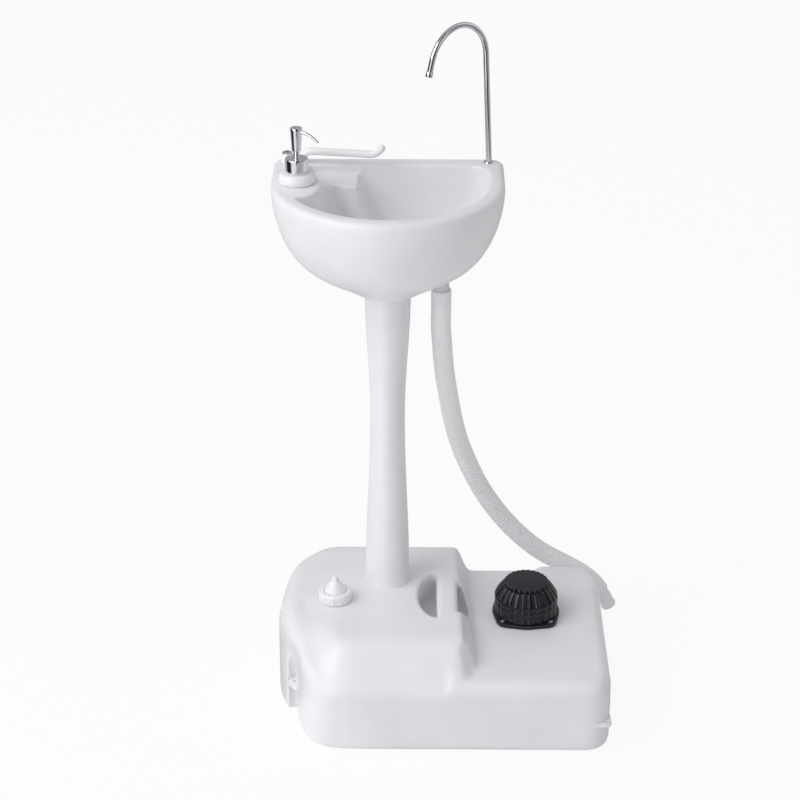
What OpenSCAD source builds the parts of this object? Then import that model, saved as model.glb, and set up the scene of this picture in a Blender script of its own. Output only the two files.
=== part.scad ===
// Camp wash stand: a low water tank with a foot pump carries a waisted column and a
// D-shaped hand basin with a swan-neck tap, a soap pump and a swinging towel rail.
// Right is +X, back is +Y. The origin is on the floor, under the column's axis.

/* [Tank] */
// Column axis to the tank's left end
tank_left = 164; // [156:1:180]
// Column axis to the tank's right end
tank_right = 331; // [325:1:345]
// Column axis to the tank's front
tank_front = 241; // [235:1:255]
// Column axis to the tank's back
tank_back = 110; // [106:1:120]
// Height of the high deck that carries the column
deck_hi = 156; // [150:1:170]
// Height of the low deck that carries the foot pump
deck_lo = 114; // [108:1:120]
// Wall of the blown tank
tank_wall = 3; // [2.5:0.5:4]
// Radius of the deck's edges
edge_r = 18; // [14:1:20]
// Radius of the deck's edge round the left end
end_r = 32; // [26:1:36]
// Radius of the edge round the underside
foot_r = 8; // [5:1:10]
// Radius of the right-hand corners, seen from above
corner_r = 37; // [32:1:44]
// Height at which the vertical front band ends
band_z = 94; // [88:1:98]
// Front of the tank to the top of the sloped front
slope_in = 62; // [56:1:68]
// Column axis to the right edge of the high deck
step_x = 101; // [99:1:106]
// Run of the curved step down to the low deck
step_run = 32; // [28:1:36]
// Rise of the shallow hump along the back right
hump_h = 8; // [5:1:9]
// Height of the tie-down lug at the right corner
lug_z = 46; // [35:1:60]
// Height of the tie-down lug in the groove
groove_lug_z = 54; // [40:1:64]
// Thickness of a tie-down lug
lug_t = 5; // [4:0.5:6]
// Radius of the hole in a tie-down lug
lug_hole_r = 3.5; // [2:0.5:4]

/* [Handle] */
// Width of the carrying bar
grip_w = 32; // [24:1:33]
// Depth of the carrying bar
grip_h = 24; // [18:1:26]
// Half length of the finger pocket
pocket_l = 67; // [58:1:70]
// Height of the pocket's floor
pocket_z = 108; // [104:1:110]

/* [Column] */
// Radius of the column at its two ends
column_r = 33.4; // [32:0.2:34]
// Radius at the waist
waist_r = 25.5; // [23:0.5:28]
// Height of the waist
waist_z = 440; // [420:5:460]
// Wall of the column
column_wall = 2.6; // [2:0.2:3.4]
// Radius of the base flange
flange_r = 35; // [35:0.5:38]
// Depth of the plug in the tank's socket
plug_depth = 28; // [20:1:30]
// Height where the basin sits on the column
neck_z = 635; // [600:5:650]
// Radius of the spigot inside the basin
spigot_r = 29.5; // [27:0.5:30]
// Length of the spigot
spigot_l = 30; // [22:1:32]

/* [Basin] */
// Basin rim above the column's top
basin_h = 162.5; // [155:0.5:170]
// Half width of the basin
basin_w = 167.5; // [164:0.5:172]
// Column axis to the flat back
basin_back = 116; // [112:1:120]
// Column axis to the centre of the round front
bow_y = 18; // [14:1:20]
// Wall of the basin
basin_wall = 3; // [2.5:0.5:3.5]
// Width of the rim round the front of the bowl
rim_w = 22; // [20:1:25]
// Depth of the bowl
bowl_d = 105; // [90:1:108]
// Depth of the soap shelf below the rim
shelf_d = 13; // [8:1:16]

/* [Tap] */
// Outer radius of the tap's tube
tap_r = 4.25; // [3.5:0.25:5]
// Bend radius of the swan neck
tap_bend = 56; // [48:1:60]
// Straight tube below the bend
tap_rise = 154; // [130:1:165]
// Direction of the spout, from the left towards the front
tap_turn = 45; // [0:5:80]
// Radial clearance of a turning fit
run_gap = 0.06; // [0.04:0.01:0.1]

/* [Soap pump] */
// Height of the pump's head above the rim
soap_top = 82; // [80:1:90]
// Radius of the chrome collar
soap_collar_r = 16.5; // [14:0.5:18]
// Travel of the soap pump
soap_stroke = 10; // [6:1:10]

/* [Towel rail] */
// Length of the rail from its pivot
rail_l = 139; // [110:1:145]
// Radius of the rail
rail_r = 5.5; // [4:0.5:6]

/* [Foot pump] */
// Radius of the pump's flange
pump_r = 51; // [49:0.5:53]
// Height of the pump above the low deck
pump_h = 58; // [50:1:60]
// Travel of the tread
pump_stroke = 28; // [15:1:30]
// Number of flutes round the bellows
flutes = 24; // [16:4:32]
// Radius of the circle of screws
screw_pcr = 51; // [50:0.5:52]

/* [Tank cap] */
// Outer radius of the cap's ring
cap_r = 25; // [23:0.5:28]
// Height of the cap above the high deck
cap_h = 40; // [34:1:46]

/* [Drain] */
// Outer radius of the drain hose
hose_r = 15; // [14:0.5:16]
// Outer radius of the drain's tail
tail_r = 9.5; // [8.5:0.5:10.5]

/* [Hidden] */
eps = 0.01;
$fn = 48;

// Clearance between plugged pieces, and the gap under a piece that turns.
fit = 0.3;
seat = 0.2;

// Tank outline at the left end: reach of a corner along x, reach along y, and its curve in shares of those.
left_front = [110, 181, [[0, 1], [0.24, 0.983], [0.39, 0.945], [0.48, 0.9], [0.57, 0.829], [0.64, 0.751],
    [0.68, 0.669], [0.72, 0.53], [0.79, 0.492], [0.845, 0.425], [0.9, 0.348], [0.96, 0.227], [0.99, 0.12], [1, 0]]];
left_back = [104, 170, [[0, 1], [0.19, 0.994], [0.36, 0.97], [0.46, 0.93], [0.55, 0.87], [0.67, 0.79],
    [0.76, 0.706], [0.85, 0.6], [0.94, 0.382], [0.98, 0.206], [1, 0]]];
back_groove = [-53, tank_back, 7];
hump_x = 228;
hump_run = 14;
hump_in = 46;

socket_r = column_r - 0.4 + fit;
pump_at = [212, -33];
cap_at = [-78, -65];
filler_r = 17.5;
filler_h = 9;
// Depth of the cap's thread: the space between the neck and the ring.
thread_d = 1.5;
screw_r = 1.7;
cup_r = 38;
cup_h = 24;

rim_z = neck_z + basin_h;
tap_at = [145.5, 98];
soap_at = [-130, 14];
rail_at = [-147.5, 95];
drain_at = [78, 38];
cuff_r = hose_r - 3.5;
boss_r = 20;
boss_z = rim_z - basin_h + 15;
tail_l = 28;
bowl_z = rim_z - bowl_d;
shelf_z = rim_z - shelf_d;
bowl_low = [58, 17];
bowl_low_r = [54, 50];

// Route of the drain hose, from the basin's outlet to the floor behind the tank.
hose_path = [
    [78, 38, 622], [78, 38, 592], [78, 41, 562], [80, 46, 533], [82, 54, 505], [85, 62, 474],
    [89, 71, 445], [94, 81, 412], [100, 91, 378], [109, 102, 340], [121, 113, 303],
    [137, 124, 262], [157, 134, 222], [181, 143, 184], [209, 150, 149], [242, 157, 117],
    [278, 163, 92], [307, 167, 73], [329, 170, 53], [343, 172, 34]
];
// The bare end of the hose, with its cuff, rests on the floor.
end_path = [[343, 172, 34], [348.6, 172.8, 26.4], [359, 173, 5.8]];

// Route of the supply hose: pump, tank, column and up behind the bowl to the tap.
supply_path = [
    [150, -33, 78], [120, -32, 78], [80, -28, 80], [45, -20, 84], [18, -9, 92], [4, -2, 106],
    [0, 0, 125], [0, 0, 200], [0, 0, 350], [0, 0, 500], [0, 0, 630], [2, 4, 656], [8, 15, 671],
    [17, 32, 679], [30, 50, 682], [48, 66, 683], [72, 78, 688], [97, 85, 700], [118, 90, 714],
    [134, 95, 727], [143, 97.5, 738], [145.5, 98, 746], [145.5, 98, 753.5]
];
supply_r = 4;

// ---- Shared shapes ----

function smooth(t) = let (c = min(1, max(0, t))) c * c * (3 - 2 * c);
function mix(a, b, t) = a + (b - a) * t;
function arc(c, r, a0, a1, n) = [for (i = [0:n]) c + r * [cos(mix(a0, a1, i / n)), sin(mix(a0, a1, i / n))]];
function lift(ring, z) = [for (p = ring) [p[0], p[1], z]];

// A closed skin through rings that have the same number of points.
module loft(rings) {
    n = len(rings[0]);
    last = (len(rings) - 1) * n;
    polyhedron(
        points = [for (r = rings) for (p = r) p],
        faces = concat(
            [[for (i = [0:n - 1]) i]],
            [for (k = [0:len(rings) - 2], i = [0:n - 1])
                let (a = k * n + i, b = k * n + (i + 1) % n) each [[a, a + n, b + n], [a, b + n, b]]],
            [[for (i = [n - 1:-1:0]) last + i]]
        ),
        convexity = 8
    );
}

// A round tube along a path of points, as a closed skin.
module sweep(path, r, sides = 12) {
    last = len(path) - 1;
    dirs = [for (i = [0:last]) let (d = path[min(i + 1, last)] - path[max(i - 1, 0)]) d / norm(d)];
    loft([for (i = [0:last])
        let (
            t = dirs[i],
            u0 = cross(t, [0.1, 1, 0.05]),
            u = u0 / norm(u0),
            v = cross(t, u)
        )
        [for (k = [0:sides - 1]) path[i] - r * (cos(360 * k / sides) * u + sin(360 * k / sides) * v)]
    ]);
}

module ring(r_out, r_in, z0, z1) {
    translate([0, 0, z0])
        difference() {
            cylinder(r = r_out, h = z1 - z0);
            translate([0, 0, -1]) cylinder(r = r_in, h = z1 - z0 + 2);
        }
}

// ---- Tank ----

// Plan outline of the tank at x, moved in by d.
function plan_y(x, d, axes, depth) =
    let (
        r = max(corner_r - d, 3),
        xl = -tank_left + axes[0] - x,
        xr = x - (tank_right - d - r)
    )
    xl > 0 ? depth - axes[1] + (axes[1] - d) * lookup(min(0.999, xl / (axes[0] - d)), axes[2])
    : xr > 0 ? depth - d - r + r * sqrt(1 - pow(min(0.999, xr / r), 2))
    : depth - d;

// The step runs down faster towards the front.
step_skew = 5;
function step_t(x, d) =
    smooth((x - step_x - step_skew + 0.42 * (slope_in - d)) / mix(18, step_run, d / slope_in));
// The sloped front turns into a plain rounded edge round the left end.
function end_t(x) = smooth((-tank_left + 68 - x) / 48);

// Front edge as pairs of inset and height, for the high deck and for the low one.
front_hi = [[0, band_z], [2, band_z + 5], [6, band_z + 10], [slope_in - 21, deck_hi - 13],
    [slope_in - 11, deck_hi - 4], [slope_in + 2, deck_hi]];
front_lo = [for (a = [0:30:90]) [edge_r * (1 - cos(a)), deck_lo - edge_r + edge_r * sin(a)]];
front_lo6 = concat(front_lo, [[edge_r + 20, deck_lo], [slope_in, deck_lo]]);
front_end = [for (p = front_lo6) p + [0, deck_hi - deck_lo]];
foot = [for (a = [0:45:90]) [foot_r * (1 - sin(a)), foot_r * (1 - cos(a))]];

// Cross-section of the tank at x, moved in by g all round.
function tank_ring(x, g) =
    let (
        top = mix(deck_hi, deck_lo, smooth((x - step_x) / step_run)),
        back_top = top + hump_h * smooth((x - hump_x) / hump_run),
        s = min(x + tank_left, tank_right - x) - g,
        er = (x < 0 ? end_r : edge_r) - g,
        fr = max(foot_r - g, 2),
        drop = g + (s < er ? er - sqrt(er * er - pow(er - s, 2)) : 0),
        rise = g + (s < fr ? fr - sqrt(fr * fr - pow(fr - s, 2)) : 0),
        scale_z = (top - drop - rise) / top,
        front = [for (i = [0:5])
            mix(mix(front_hi[i], front_end[i], end_t(x)), front_lo6[i], step_t(x, front_hi[i][0]))],
        back = concat(
            [[slope_in, top], [hump_in, back_top]],
            [for (a = [90:-30:0]) [edge_r * (1 - cos(a)), back_top - edge_r + edge_r * sin(a)]]
        )
    )
    concat(
        [for (p = [foot[0], foot[1], foot[2]])
            [x, -plan_y(x, p[0] + g, left_front, tank_front), rise + p[1] * scale_z]],
        [for (p = front) [x, -plan_y(x, p[0] + g, left_front, tank_front), rise + p[1] * scale_z]],
        [for (p = back) [x, plan_y(x, p[0] + g, left_back, tank_back), rise + p[1] * scale_z]],
        [for (p = [foot[2], foot[1], foot[0]])
            [x, plan_y(x, p[0] + g, left_back, tank_back), rise + p[1] * scale_z]]
    );

// Stations along x: close together round the ends, over the step and at the hump.
left_stations = [0, 1.3, 4.5, 11, 17, 23, 31, 35.4, 40, 47, 57, 67, 84, 110];
right_stations = [corner_r + 6, corner_r, 29, 18, 10, 4.5, 1.2, 0];
step_stations = [-26, -16, -7, 0, 5, 10, 16, 22, 27, 32, 42];

module tank_body(g) {
    xs = concat(
        [for (s = left_stations) -tank_left + g + s],
        [for (s = step_stations) step_x + s * step_run / 32],
        [for (t = [0, 0.35, 0.65, 1]) hump_x + t * hump_run],
        [for (s = right_stations) tank_right - g - s]
    );
    loft([for (i = [len(xs) - 1:-1:0]) tank_ring(xs[i], g)]);
}

// Plan of the finger pocket: a flat oval, longer along the bar.
pocket_x = step_x - 23;
pocket_y = -48;
function pocket_plan(g) = [for (a = [0:12:348])
    [pocket_x + (cos(a) > 0 ? 46 + g : 31 + g) * cos(a), pocket_y + (pocket_l + g) * sin(a)]];

module pocket(g) {
    translate([0, 0, pocket_z - g]) linear_extrude(height = deck_hi - pocket_z + 20) polygon(pocket_plan(g));
}

// Carrying bar: a rounded section that runs into the pocket's end walls.
module grip() {
    half = pocket_l + tank_wall - 0.5;
    r = 8;
    z0 = deck_hi - grip_h;
    x0 = pocket_x - 3;
    section = concat(
        arc([x0 + grip_w - r, deck_hi - r], r, 0, 90, 4),
        arc([x0 + r, deck_hi - r], r, 90, 180, 4),
        arc([x0 + r, z0 + r], r, 180, 270, 4),
        arc([x0 + grip_w - r, z0 + r], r, 270, 360, 4)
    );
    loft([for (y = [pocket_y + half, pocket_y - half]) [for (p = section) [p[0], y, p[1]]]]);
}

// Groove down the left front corner, for the tie-down lug in it. It gets shallow and runs out at the top.
groove_plan = [[-147, -137], [-144, -125], [-131, -126], [-133, -156], [-152, -178], [-172, -152]];
groove_top = [[-151, -140], [-150, -143], [-139, -157], [-138, -161], [-152, -178], [-172, -152]];
groove_out = [[-0.6, 2.7], [-1, 1], [1, 1], [1, -0.4], [0, 0], [-2, 3]];
module groove(g) {
    loft([
        lift(groove_top + g * groove_out, deck_hi - 14 + g),
        lift(groove_plan + g * groove_out, 76 + g),
        lift(groove_plan + g * groove_out, -1)
    ]);
}

module tank_skin() {
    difference() {
        tank_body(0);
        groove(0);
    }
}

// A tie-down lug ends on the tank's skin.
module lug(points, hole, z) {
    difference() {
        translate([0, 0, z - lug_t / 2]) linear_extrude(height = lug_t) polygon(points);
        translate([hole[0], hole[1], z - lug_t]) cylinder(r = lug_hole_r, h = 2 * lug_t);
        tank_skin();
    }
}

left_hole = [-138, -138];
module left_lug() color("whitesmoke") {
    lug([[-152, -131], [-150, -137.5], [-137.5, -156], [-133.8, -158.5], [-126, -150], [-126, -118], [-150, -118]],
        left_hole, groove_lug_z);
}

lug_tip = [tank_right + 1, -tank_front + 4];
right_hole = lug_tip + [-6, 5];
module right_lug() color("whitesmoke") {
    lug([for (p = [[-41, -3.5], [-8, -2.6], [-2.4, -0.6], [0, 5], [-2, 40], [-20, 60], [-60, 20]]) lug_tip + p],
        right_hole, lug_z);
}

module tank() color("whitesmoke") {
    difference() {
        tank_skin();
        // The hollow keeps its wall round every pocket and socket.
        difference() {
            tank_body(tank_wall);
            pocket(tank_wall);
            groove(tank_wall);
            translate([back_groove[0], back_groove[1], 0])
                cylinder(r = back_groove[2] + tank_wall, h = deck_hi);
            translate([0, 0, deck_hi - plug_depth - fit - tank_wall])
                cylinder(r = socket_r + tank_wall, h = plug_depth + 20);
            for (a = [45:90:315])
                translate([pump_at[0], pump_at[1], deck_lo - 16])
                    rotate([0, 0, a]) translate([screw_pcr, 0, 0]) cylinder(r = 5, h = 20);
        }
        pocket(0);
        translate([back_groove[0], back_groove[1], -1]) cylinder(r = back_groove[2], h = deck_hi + 2);
        // Column socket, and the hole in its floor for the supply hose.
        translate([0, 0, deck_hi - plug_depth - fit]) cylinder(r = socket_r, h = plug_depth + 5);
        translate([0, 0, deck_hi - 50]) cylinder(r = supply_r + 2, h = 40);
        // Filler hole, pump opening and pilot holes for its screws.
        translate([cap_at[0], cap_at[1], deck_hi - 12]) cylinder(r = spigot_in + fit, h = 20);
        translate([pump_at[0], pump_at[1], deck_lo - 12]) cylinder(r = cup_r + 0.5, h = 20);
        for (a = [45:90:315])
            translate([pump_at[0], pump_at[1], deck_lo - 13])
                rotate([0, 0, a]) translate([screw_pcr, 0, 0]) cylinder(r = screw_r, h = 20);
    }
    grip();
}

// ---- Tank cap ----

// Threaded neck for the cap: it stands on the deck, with a spigot through the filler hole.
spigot_in = filler_r - 1;
module filler_neck() color("white") {
    translate([cap_at[0], cap_at[1], 0]) {
        ring(filler_r, filler_r - 3, deck_hi, deck_hi + filler_h);
        ring(spigot_in, filler_r - 3, deck_hi - tank_wall - 5, deck_hi + eps);
    }
}

module cap_gasket() color("dimgray") {
    translate([cap_at[0], cap_at[1], 0]) ring(filler_r, filler_r - 3, deck_hi + filler_h, deck_hi + filler_h + 2);
}

insert_z = deck_hi + filler_h + 2;
insert_r = 16.5;

module cap_insert() color("white") {
    top = deck_hi + cap_h;
    translate([cap_at[0], cap_at[1], 0])
        rotate_extrude()
            polygon([[filler_r + thread_d, insert_z], [filler_r + thread_d, insert_z + 2], [insert_r, insert_z + 2],
                [insert_r, insert_z + 5], [insert_r - 1.5, insert_z + 8], [10, top - 13], [6, top - 8.5],
                [5, top - 4], [4.6, top - 1], [3.4, top], [1, top], [1, top - 5], [3.4, top - 8.5],
                [8, top - 14.5], [insert_r - 4, insert_z + 6.5], [insert_r - 3, insert_z]]);
}

module cap_ring() color("white") {
    z0 = deck_hi + 1;
    z1 = insert_z + 2 + fit + 2.5;
    translate([cap_at[0], cap_at[1], 0]) {
        difference() {
            union() {
                translate([0, 0, z0]) cylinder(r = cap_r, h = z1 - z0 - 2);
                translate([0, 0, z1 - 2]) cylinder(r1 = cap_r, r2 = cap_r - 2, h = 2);
            }
            translate([0, 0, z0 - 1]) cylinder(r = filler_r + thread_d + fit, h = insert_z + 2 + fit - z0 + 1);
            translate([0, 0, z0]) cylinder(r = insert_r + fit, h = 40);
            // Finger grooves round the ring.
            for (a = [0:15:345])
                rotate([0, 0, a]) translate([cap_r + 1, 0, z0 - 1]) cylinder(r = 1.6, h = z1 - z0 - 2);
        }
    }
}

// ---- Column ----

function column_at(z, r_end) =
    let (t = z < waist_z ? (waist_z - z) / (waist_z - deck_hi) : (z - waist_z) / (neck_z - waist_z))
    mix(waist_r, r_end, (1 - cos(180 * t)) / 2);

module column() color("white") {
    z0 = deck_hi - plug_depth;
    plug_r = socket_r - fit;
    zs = [for (k = [0:16]) mix(deck_hi + 4, neck_z, k / 16)];
    rotate_extrude()
        polygon(concat(
            [[plug_r - column_wall, z0], [plug_r, z0], [plug_r, deck_hi], [flange_r, deck_hi],
                [flange_r, deck_hi + 2.5], [flange_r - 1, deck_hi + 4]],
            [for (z = zs) [column_at(z, column_r), z]],
            [[spigot_r, neck_z], [spigot_r, neck_z + spigot_l - 2], [spigot_r - 2, neck_z + spigot_l],
                [spigot_r - column_wall - 1, neck_z + spigot_l], [spigot_r - column_wall - 1, neck_z]],
            [for (k = [15:-1:0]) [column_at(zs[k], column_r) - column_wall, zs[k]]]
        ));
}

// ---- Basin ----

// Plan of the outer shell at depth d below the rim, as a D that becomes a circle.
// Depth, half width, back and radius of the back corners.
basin_rows = [
    [0, 1 - 8 / basin_w, basin_back - 5, 13], [2.4, 1 - 2.4 / basin_w, basin_back - 1.5, 16],
    [8, 1, basin_back, 17], [32, 0.987, basin_back, 20], [56, 0.955, basin_back - 1, 28],
    [78, 0.905, basin_back - 5, 40], [97, 0.84, basin_back - 13, 52], [113, 0.752, basin_back - 22, 62],
    [126, 0.64, basin_back - 35, 66], [137, 0.52, basin_back - 48, 62],
    [146, 0.42, basin_back - 60, 52], [153, 0.345, basin_back - 69, 44], [158.5, 0.29, basin_back - 76, 38]
];

function basin_ring(row, g) =
    let (
        d = row[0],
        a = basin_w * row[1] - g,
        yc = bow_y * (1 - pow(d / basin_h, 3)),
        yb = row[2] - g,
        r = min(row[3] - g, a - 0.5, yb - yc - 0.5),
        z = rim_z - (d < 8 ? max(d, g) : d)
    )
    lift(concat(
        arc([0, yc], a, 180, 360, 20),
        arc([a - r, yb - r], r, 0, 90, 5),
        arc([-a + r, yb - r], r, 90, 180, 5)
    ), z);

neck_ring = lift(concat(
    arc([0, 0], column_r + 1.2, 180, 360, 20),
    arc([0.5, 0.5], column_r + 0.7, 0, 90, 5),
    arc([-0.5, 0.5], column_r + 0.7, 90, 180, 5)
), neck_z);

module basin_shell() {
    loft(concat([neck_ring], [for (i = [len(basin_rows) - 1:-1:0]) basin_ring(basin_rows[i], 0)]));
}

// The space between the outer wall and the bowl.
module basin_void() {
    loft([for (i = [len(basin_rows) - 2:-1:1]) basin_ring(basin_rows[i], basin_wall)]);
}

// Plan of the bowl at the rim: round front, square back, and a bay for the soap shelf.
bowl_r = basin_w - rim_w;
bowl_back = basin_back - 31;
function bowl_plan(g) = concat(
    arc([0, bow_y], bowl_r + g, 206.5, 356, 16),
    [[bowl_r + g, bow_y + 12]],
    arc([bowl_r - 30, bowl_back - 30], 30 + g, 0, 90, 6),
    [for (x = [85:-24:-11]) [x, bowl_back + g]],
    arc([-37, bowl_back - 8], 8 + g, 90, 180, 3),
    [[-45 - g, 50], [-46 - g, 30 + g], [-56, 30 + g], [-66, 32 + g], [-76, 38 + g], [-83, 40 + g],
        [-90 - g, 34 + g], [-94 - g, 22], [-95 - g, 4], [-98 - g, -14], [-106 - g, -32 + g], [-118 - g, -42 + g]]
);

// Bowl at depth share t, drawn in towards the oval floor.
function bowl_ring(t, pull, g) =
    let (
        plan = bowl_plan(g),
        n = len(plan)
    )
    lift([for (p = plan)
        let (
            a = atan2(p[1] + 30, p[0] - 30),
            e = bowl_low + [(bowl_low_r[0] + g) * cos(a), (bowl_low_r[1] + g) * sin(a)]
        )
        mix(p, e, pull)], bowl_z + (1 - t) * bowl_d - (t >= 1 ? g : 0));

bowl_steps = [[1, 1], [0.97, 0.84], [0.92, 0.64], [0.83, 0.43], [0.7, 0.25], [0.5, 0.11], [0.24, 0.035], [0.04, 0.005]];

module bowl(g) {
    loft(concat(
        [for (s = bowl_steps) bowl_ring(s[0], s[1], g)],
        [bowl_ring(-0.02, 0, g), bowl_ring(-0.1, 0, g)]
    ));
}

// Soap shelf: a sunk tray between the soap pump and the bowl.
module shelf(g) {
    translate([0, 0, shelf_z - g])
        linear_extrude(height = shelf_d + g + 6)
            polygon([[-40, 28 - g], [-40, bowl_back + g], [-112 - g, bowl_back + g],
                [-117 - g, bowl_back - 6], [-117 - g, 62], [-104 - g, 46 - g], [-97 - g, 20 - g], [-90, 12 - g]]);
}

module basin() color("white") {
    difference() {
        union() {
            difference() {
                basin_shell();
                difference() {
                    basin_void();
                    bowl(basin_wall);
                    shelf(basin_wall);
                    translate([0, 0, neck_z]) cylinder(r = spigot_r + fit + 3, h = spigot_l + 4);
                    translate([drain_at[0], drain_at[1], neck_z]) cylinder(r = boss_r, h = bowl_z - neck_z);
                    for (p = [tap_at, rail_at])
                        translate([p[0], p[1], rim_z - 6]) cylinder(r = 9, h = 10);
                }
            }
            translate([drain_at[0], drain_at[1], boss_z]) cylinder(r = boss_r, h = bowl_z - boss_z - 1);
        }
        bowl(0);
        shelf(0);
        translate([0, 0, neck_z - 1]) cylinder(r = spigot_r + fit, h = spigot_l + 8);
        translate([drain_at[0], drain_at[1], boss_z - 1]) cylinder(r = tail_r + fit, h = bowl_z - boss_z + 5);
        translate([tap_at[0], tap_at[1], rim_z - 20]) cylinder(r = 6 + fit, h = 30);
        translate([rail_at[0], rail_at[1], rim_z - 20]) cylinder(r = 4 + fit, h = 30);
        translate([soap_at[0], soap_at[1], rim_z - 12]) cylinder(r = 21 + fit, h = 30);
    }
}

// ---- Drain ----

module drain_strainer() color("silver") {
    translate([drain_at[0], drain_at[1], 0]) {
        difference() {
            union() {
                translate([0, 0, bowl_z]) cylinder(r1 = tail_r + 7, r2 = tail_r + 5, h = 2.5);
                translate([0, 0, boss_z - tail_l]) cylinder(r = tail_r, h = bowl_z - boss_z + tail_l + eps);
            }
            translate([0, 0, boss_z - tail_l - 1]) cylinder(r = tail_r - 2, h = bowl_z - boss_z + tail_l);
            // Inlet: six holes round one.
            for (a = [0:60:300])
                rotate([0, 0, a]) translate([4.6, 0, bowl_z - 5]) cylinder(r = 1.6, h = 10);
            translate([0, 0, bowl_z - 5]) cylinder(r = 1.6, h = 10);
        }
    }
}

module drain_gasket() color("dimgray") {
    translate([drain_at[0], drain_at[1], 0]) ring(17, tail_r + fit, boss_z - 2, boss_z);
}

module drain_nut() color("white") {
    translate([drain_at[0], drain_at[1], 0]) {
        ring(16, tail_r + 0.1, boss_z - 11, boss_z - 2);
        for (a = [0:60:300])
            rotate([0, 0, a]) translate([14.5, -2.5, boss_z - 11]) cube([4, 5, 9]);
    }
}

module drain_cuff() color("whitesmoke") {
    translate([drain_at[0], drain_at[1], 0]) ring(cuff_r, tail_r + 0.1, hose_path[0][2], boss_z - 11);
}

module drain_hose() color("whitesmoke") sweep(hose_path, hose_r);

module drain_end() color("white") sweep(end_path, cuff_r);

// ---- Tap ----

tap_dir = [-cos(tap_turn), -sin(tap_turn)];
tap_lean = 3.7;
tap_arc = 160;
tap_tip = 22;
collar_h = 2.5;
function tap_point(s, h) = [tap_at[0] + tap_dir[0] * s, tap_at[1] + tap_dir[1] * s, h];

tap_z0 = rim_z + 14;
tap_z1 = tap_z0 + tap_rise * cos(tap_lean);
tap_s1 = tap_rise * sin(tap_lean);
function bend_point(a) = tap_point(
    tap_s1 + tap_bend * (cos(tap_lean) - cos(tap_lean + a)),
    tap_z1 + tap_bend * (sin(tap_lean + a) - sin(tap_lean))
);
function tip_point(l) = bend_point(tap_arc)
    + l * [tap_dir[0] * sin(tap_lean + tap_arc), tap_dir[1] * sin(tap_lean + tap_arc), cos(tap_lean + tap_arc)];

module tap_tube() color("silver") {
    // The straight foot turns in the shank, under a small collar.
    z = rim_z + collar_h + seat;
    translate([tap_at[0], tap_at[1], rim_z - 24]) cylinder(r = tap_r, h = z + 1 - rim_z + 24);
    translate([tap_at[0], tap_at[1], z]) cylinder(r = tap_r + 0.8, h = 2);
    sweep(concat(
        [tap_point(0, z + 0.5), tap_point(0, tap_z0), tap_point(tap_s1 / 2, mix(tap_z0, tap_z1, 0.5))],
        [for (a = [0:10:tap_arc]) bend_point(a)],
        [tip_point(tap_tip - 8)]
    ), tap_r);
}

module tap_nozzle() color("silver") {
    sweep([tip_point(tap_tip - 8), tip_point(tap_tip - 7), tip_point(tap_tip)], tap_r + 1);
}

module tap_shank() color("silver") {
    translate([tap_at[0], tap_at[1], 0])
        difference() {
            union() {
                translate([0, 0, rim_z]) cylinder(r1 = 7.6, r2 = 6.8, h = collar_h);
                translate([0, 0, rim_z - 44]) cylinder(r = 6, h = 45);
            }
            translate([0, 0, rim_z - 25]) cylinder(r = tap_r + run_gap, h = 40);
            translate([0, 0, rim_z - 46]) cylinder(r = 2.5, h = 40);
        }
}

module tap_washer() color("dimgray") {
    translate([tap_at[0], tap_at[1], 0]) ring(8.5, 6.05, rim_z - 8, rim_z - 6);
}

module tap_nut() color("goldenrod") {
    translate([tap_at[0], tap_at[1], rim_z - 14])
        difference() {
            cylinder(r = 9, h = 6, $fn = 6);
            translate([0, 0, -1]) cylinder(r = 6.05, h = 8);
        }
}

module supply_hose() color("white") sweep(supply_path, supply_r, 8);

// ---- Soap pump ----

bottle_r = 21;
bottle_h = 46;
bush_h = 15.5;
bush_r = 27;
soap_neck_z = rim_z + bush_h;
soap_collar_h = 21;
soap_collar_z = soap_neck_z + soap_collar_h;
stem_r = 4.2;
head_h = 35;
head_z = rim_z + soap_top - head_h;

module at_soap() translate([soap_at[0], soap_at[1], 0]) children();

module soap_bottle() color("white") {
    at_soap() rotate_extrude()
        polygon([[0, rim_z - bottle_h], [bottle_r - 4, rim_z - bottle_h], [bottle_r, rim_z - bottle_h + 4],
            [bottle_r, rim_z - 1], [bottle_r - 2, rim_z + 2], [13, rim_z + 5], [13, soap_neck_z + 8],
            [11.5, soap_neck_z + 8], [11.5, rim_z + 3.5], [bottle_r - 3, rim_z],
            [bottle_r - 1.6, rim_z - 3], [bottle_r - 1.6, rim_z - bottle_h + 5],
            [bottle_r - 5, rim_z - bottle_h + 1.6], [0, rim_z - bottle_h + 1.6]]);
}

module soap_bush() color("white") {
    at_soap() rotate_extrude()
        polygon(concat(
            [[bottle_r + fit, rim_z], [bush_r - 2.5, rim_z], [bush_r - 0.7, rim_z + 3], [bush_r, rim_z + 7]],
            [for (a = [22.5:22.5:90])
                [bush_r - 7 + 7 * cos(a), rim_z + bush_h - 8.5 + 8.5 * sin(a)]],
            [[13 + fit, rim_z + bush_h], [13 + fit, rim_z + 5.6],
                [bottle_r - 1.6, rim_z + 2.6], [bottle_r + fit, rim_z]]
        ));
}

module soap_collar() color("silver") {
    at_soap() rotate_extrude()
        polygon([[13.1, soap_neck_z], [soap_collar_r, soap_neck_z], [soap_collar_r, soap_collar_z - 1.5],
            [soap_collar_r - 1.5, soap_collar_z], [stem_r + run_gap, soap_collar_z],
            [stem_r + run_gap, soap_collar_z - 3], [13.1, soap_collar_z - 3]]);
}

module soap_barrel() color("white") {
    at_soap() {
        ring(9.5, 8, rim_z - 30, soap_collar_z - 3);
        ring(13.1 - 0.1, 9.5 - eps, soap_neck_z + 8, soap_neck_z + 10);
        ring(8 + eps, 2.6, rim_z - 30, rim_z - 28);
    }
}

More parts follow.
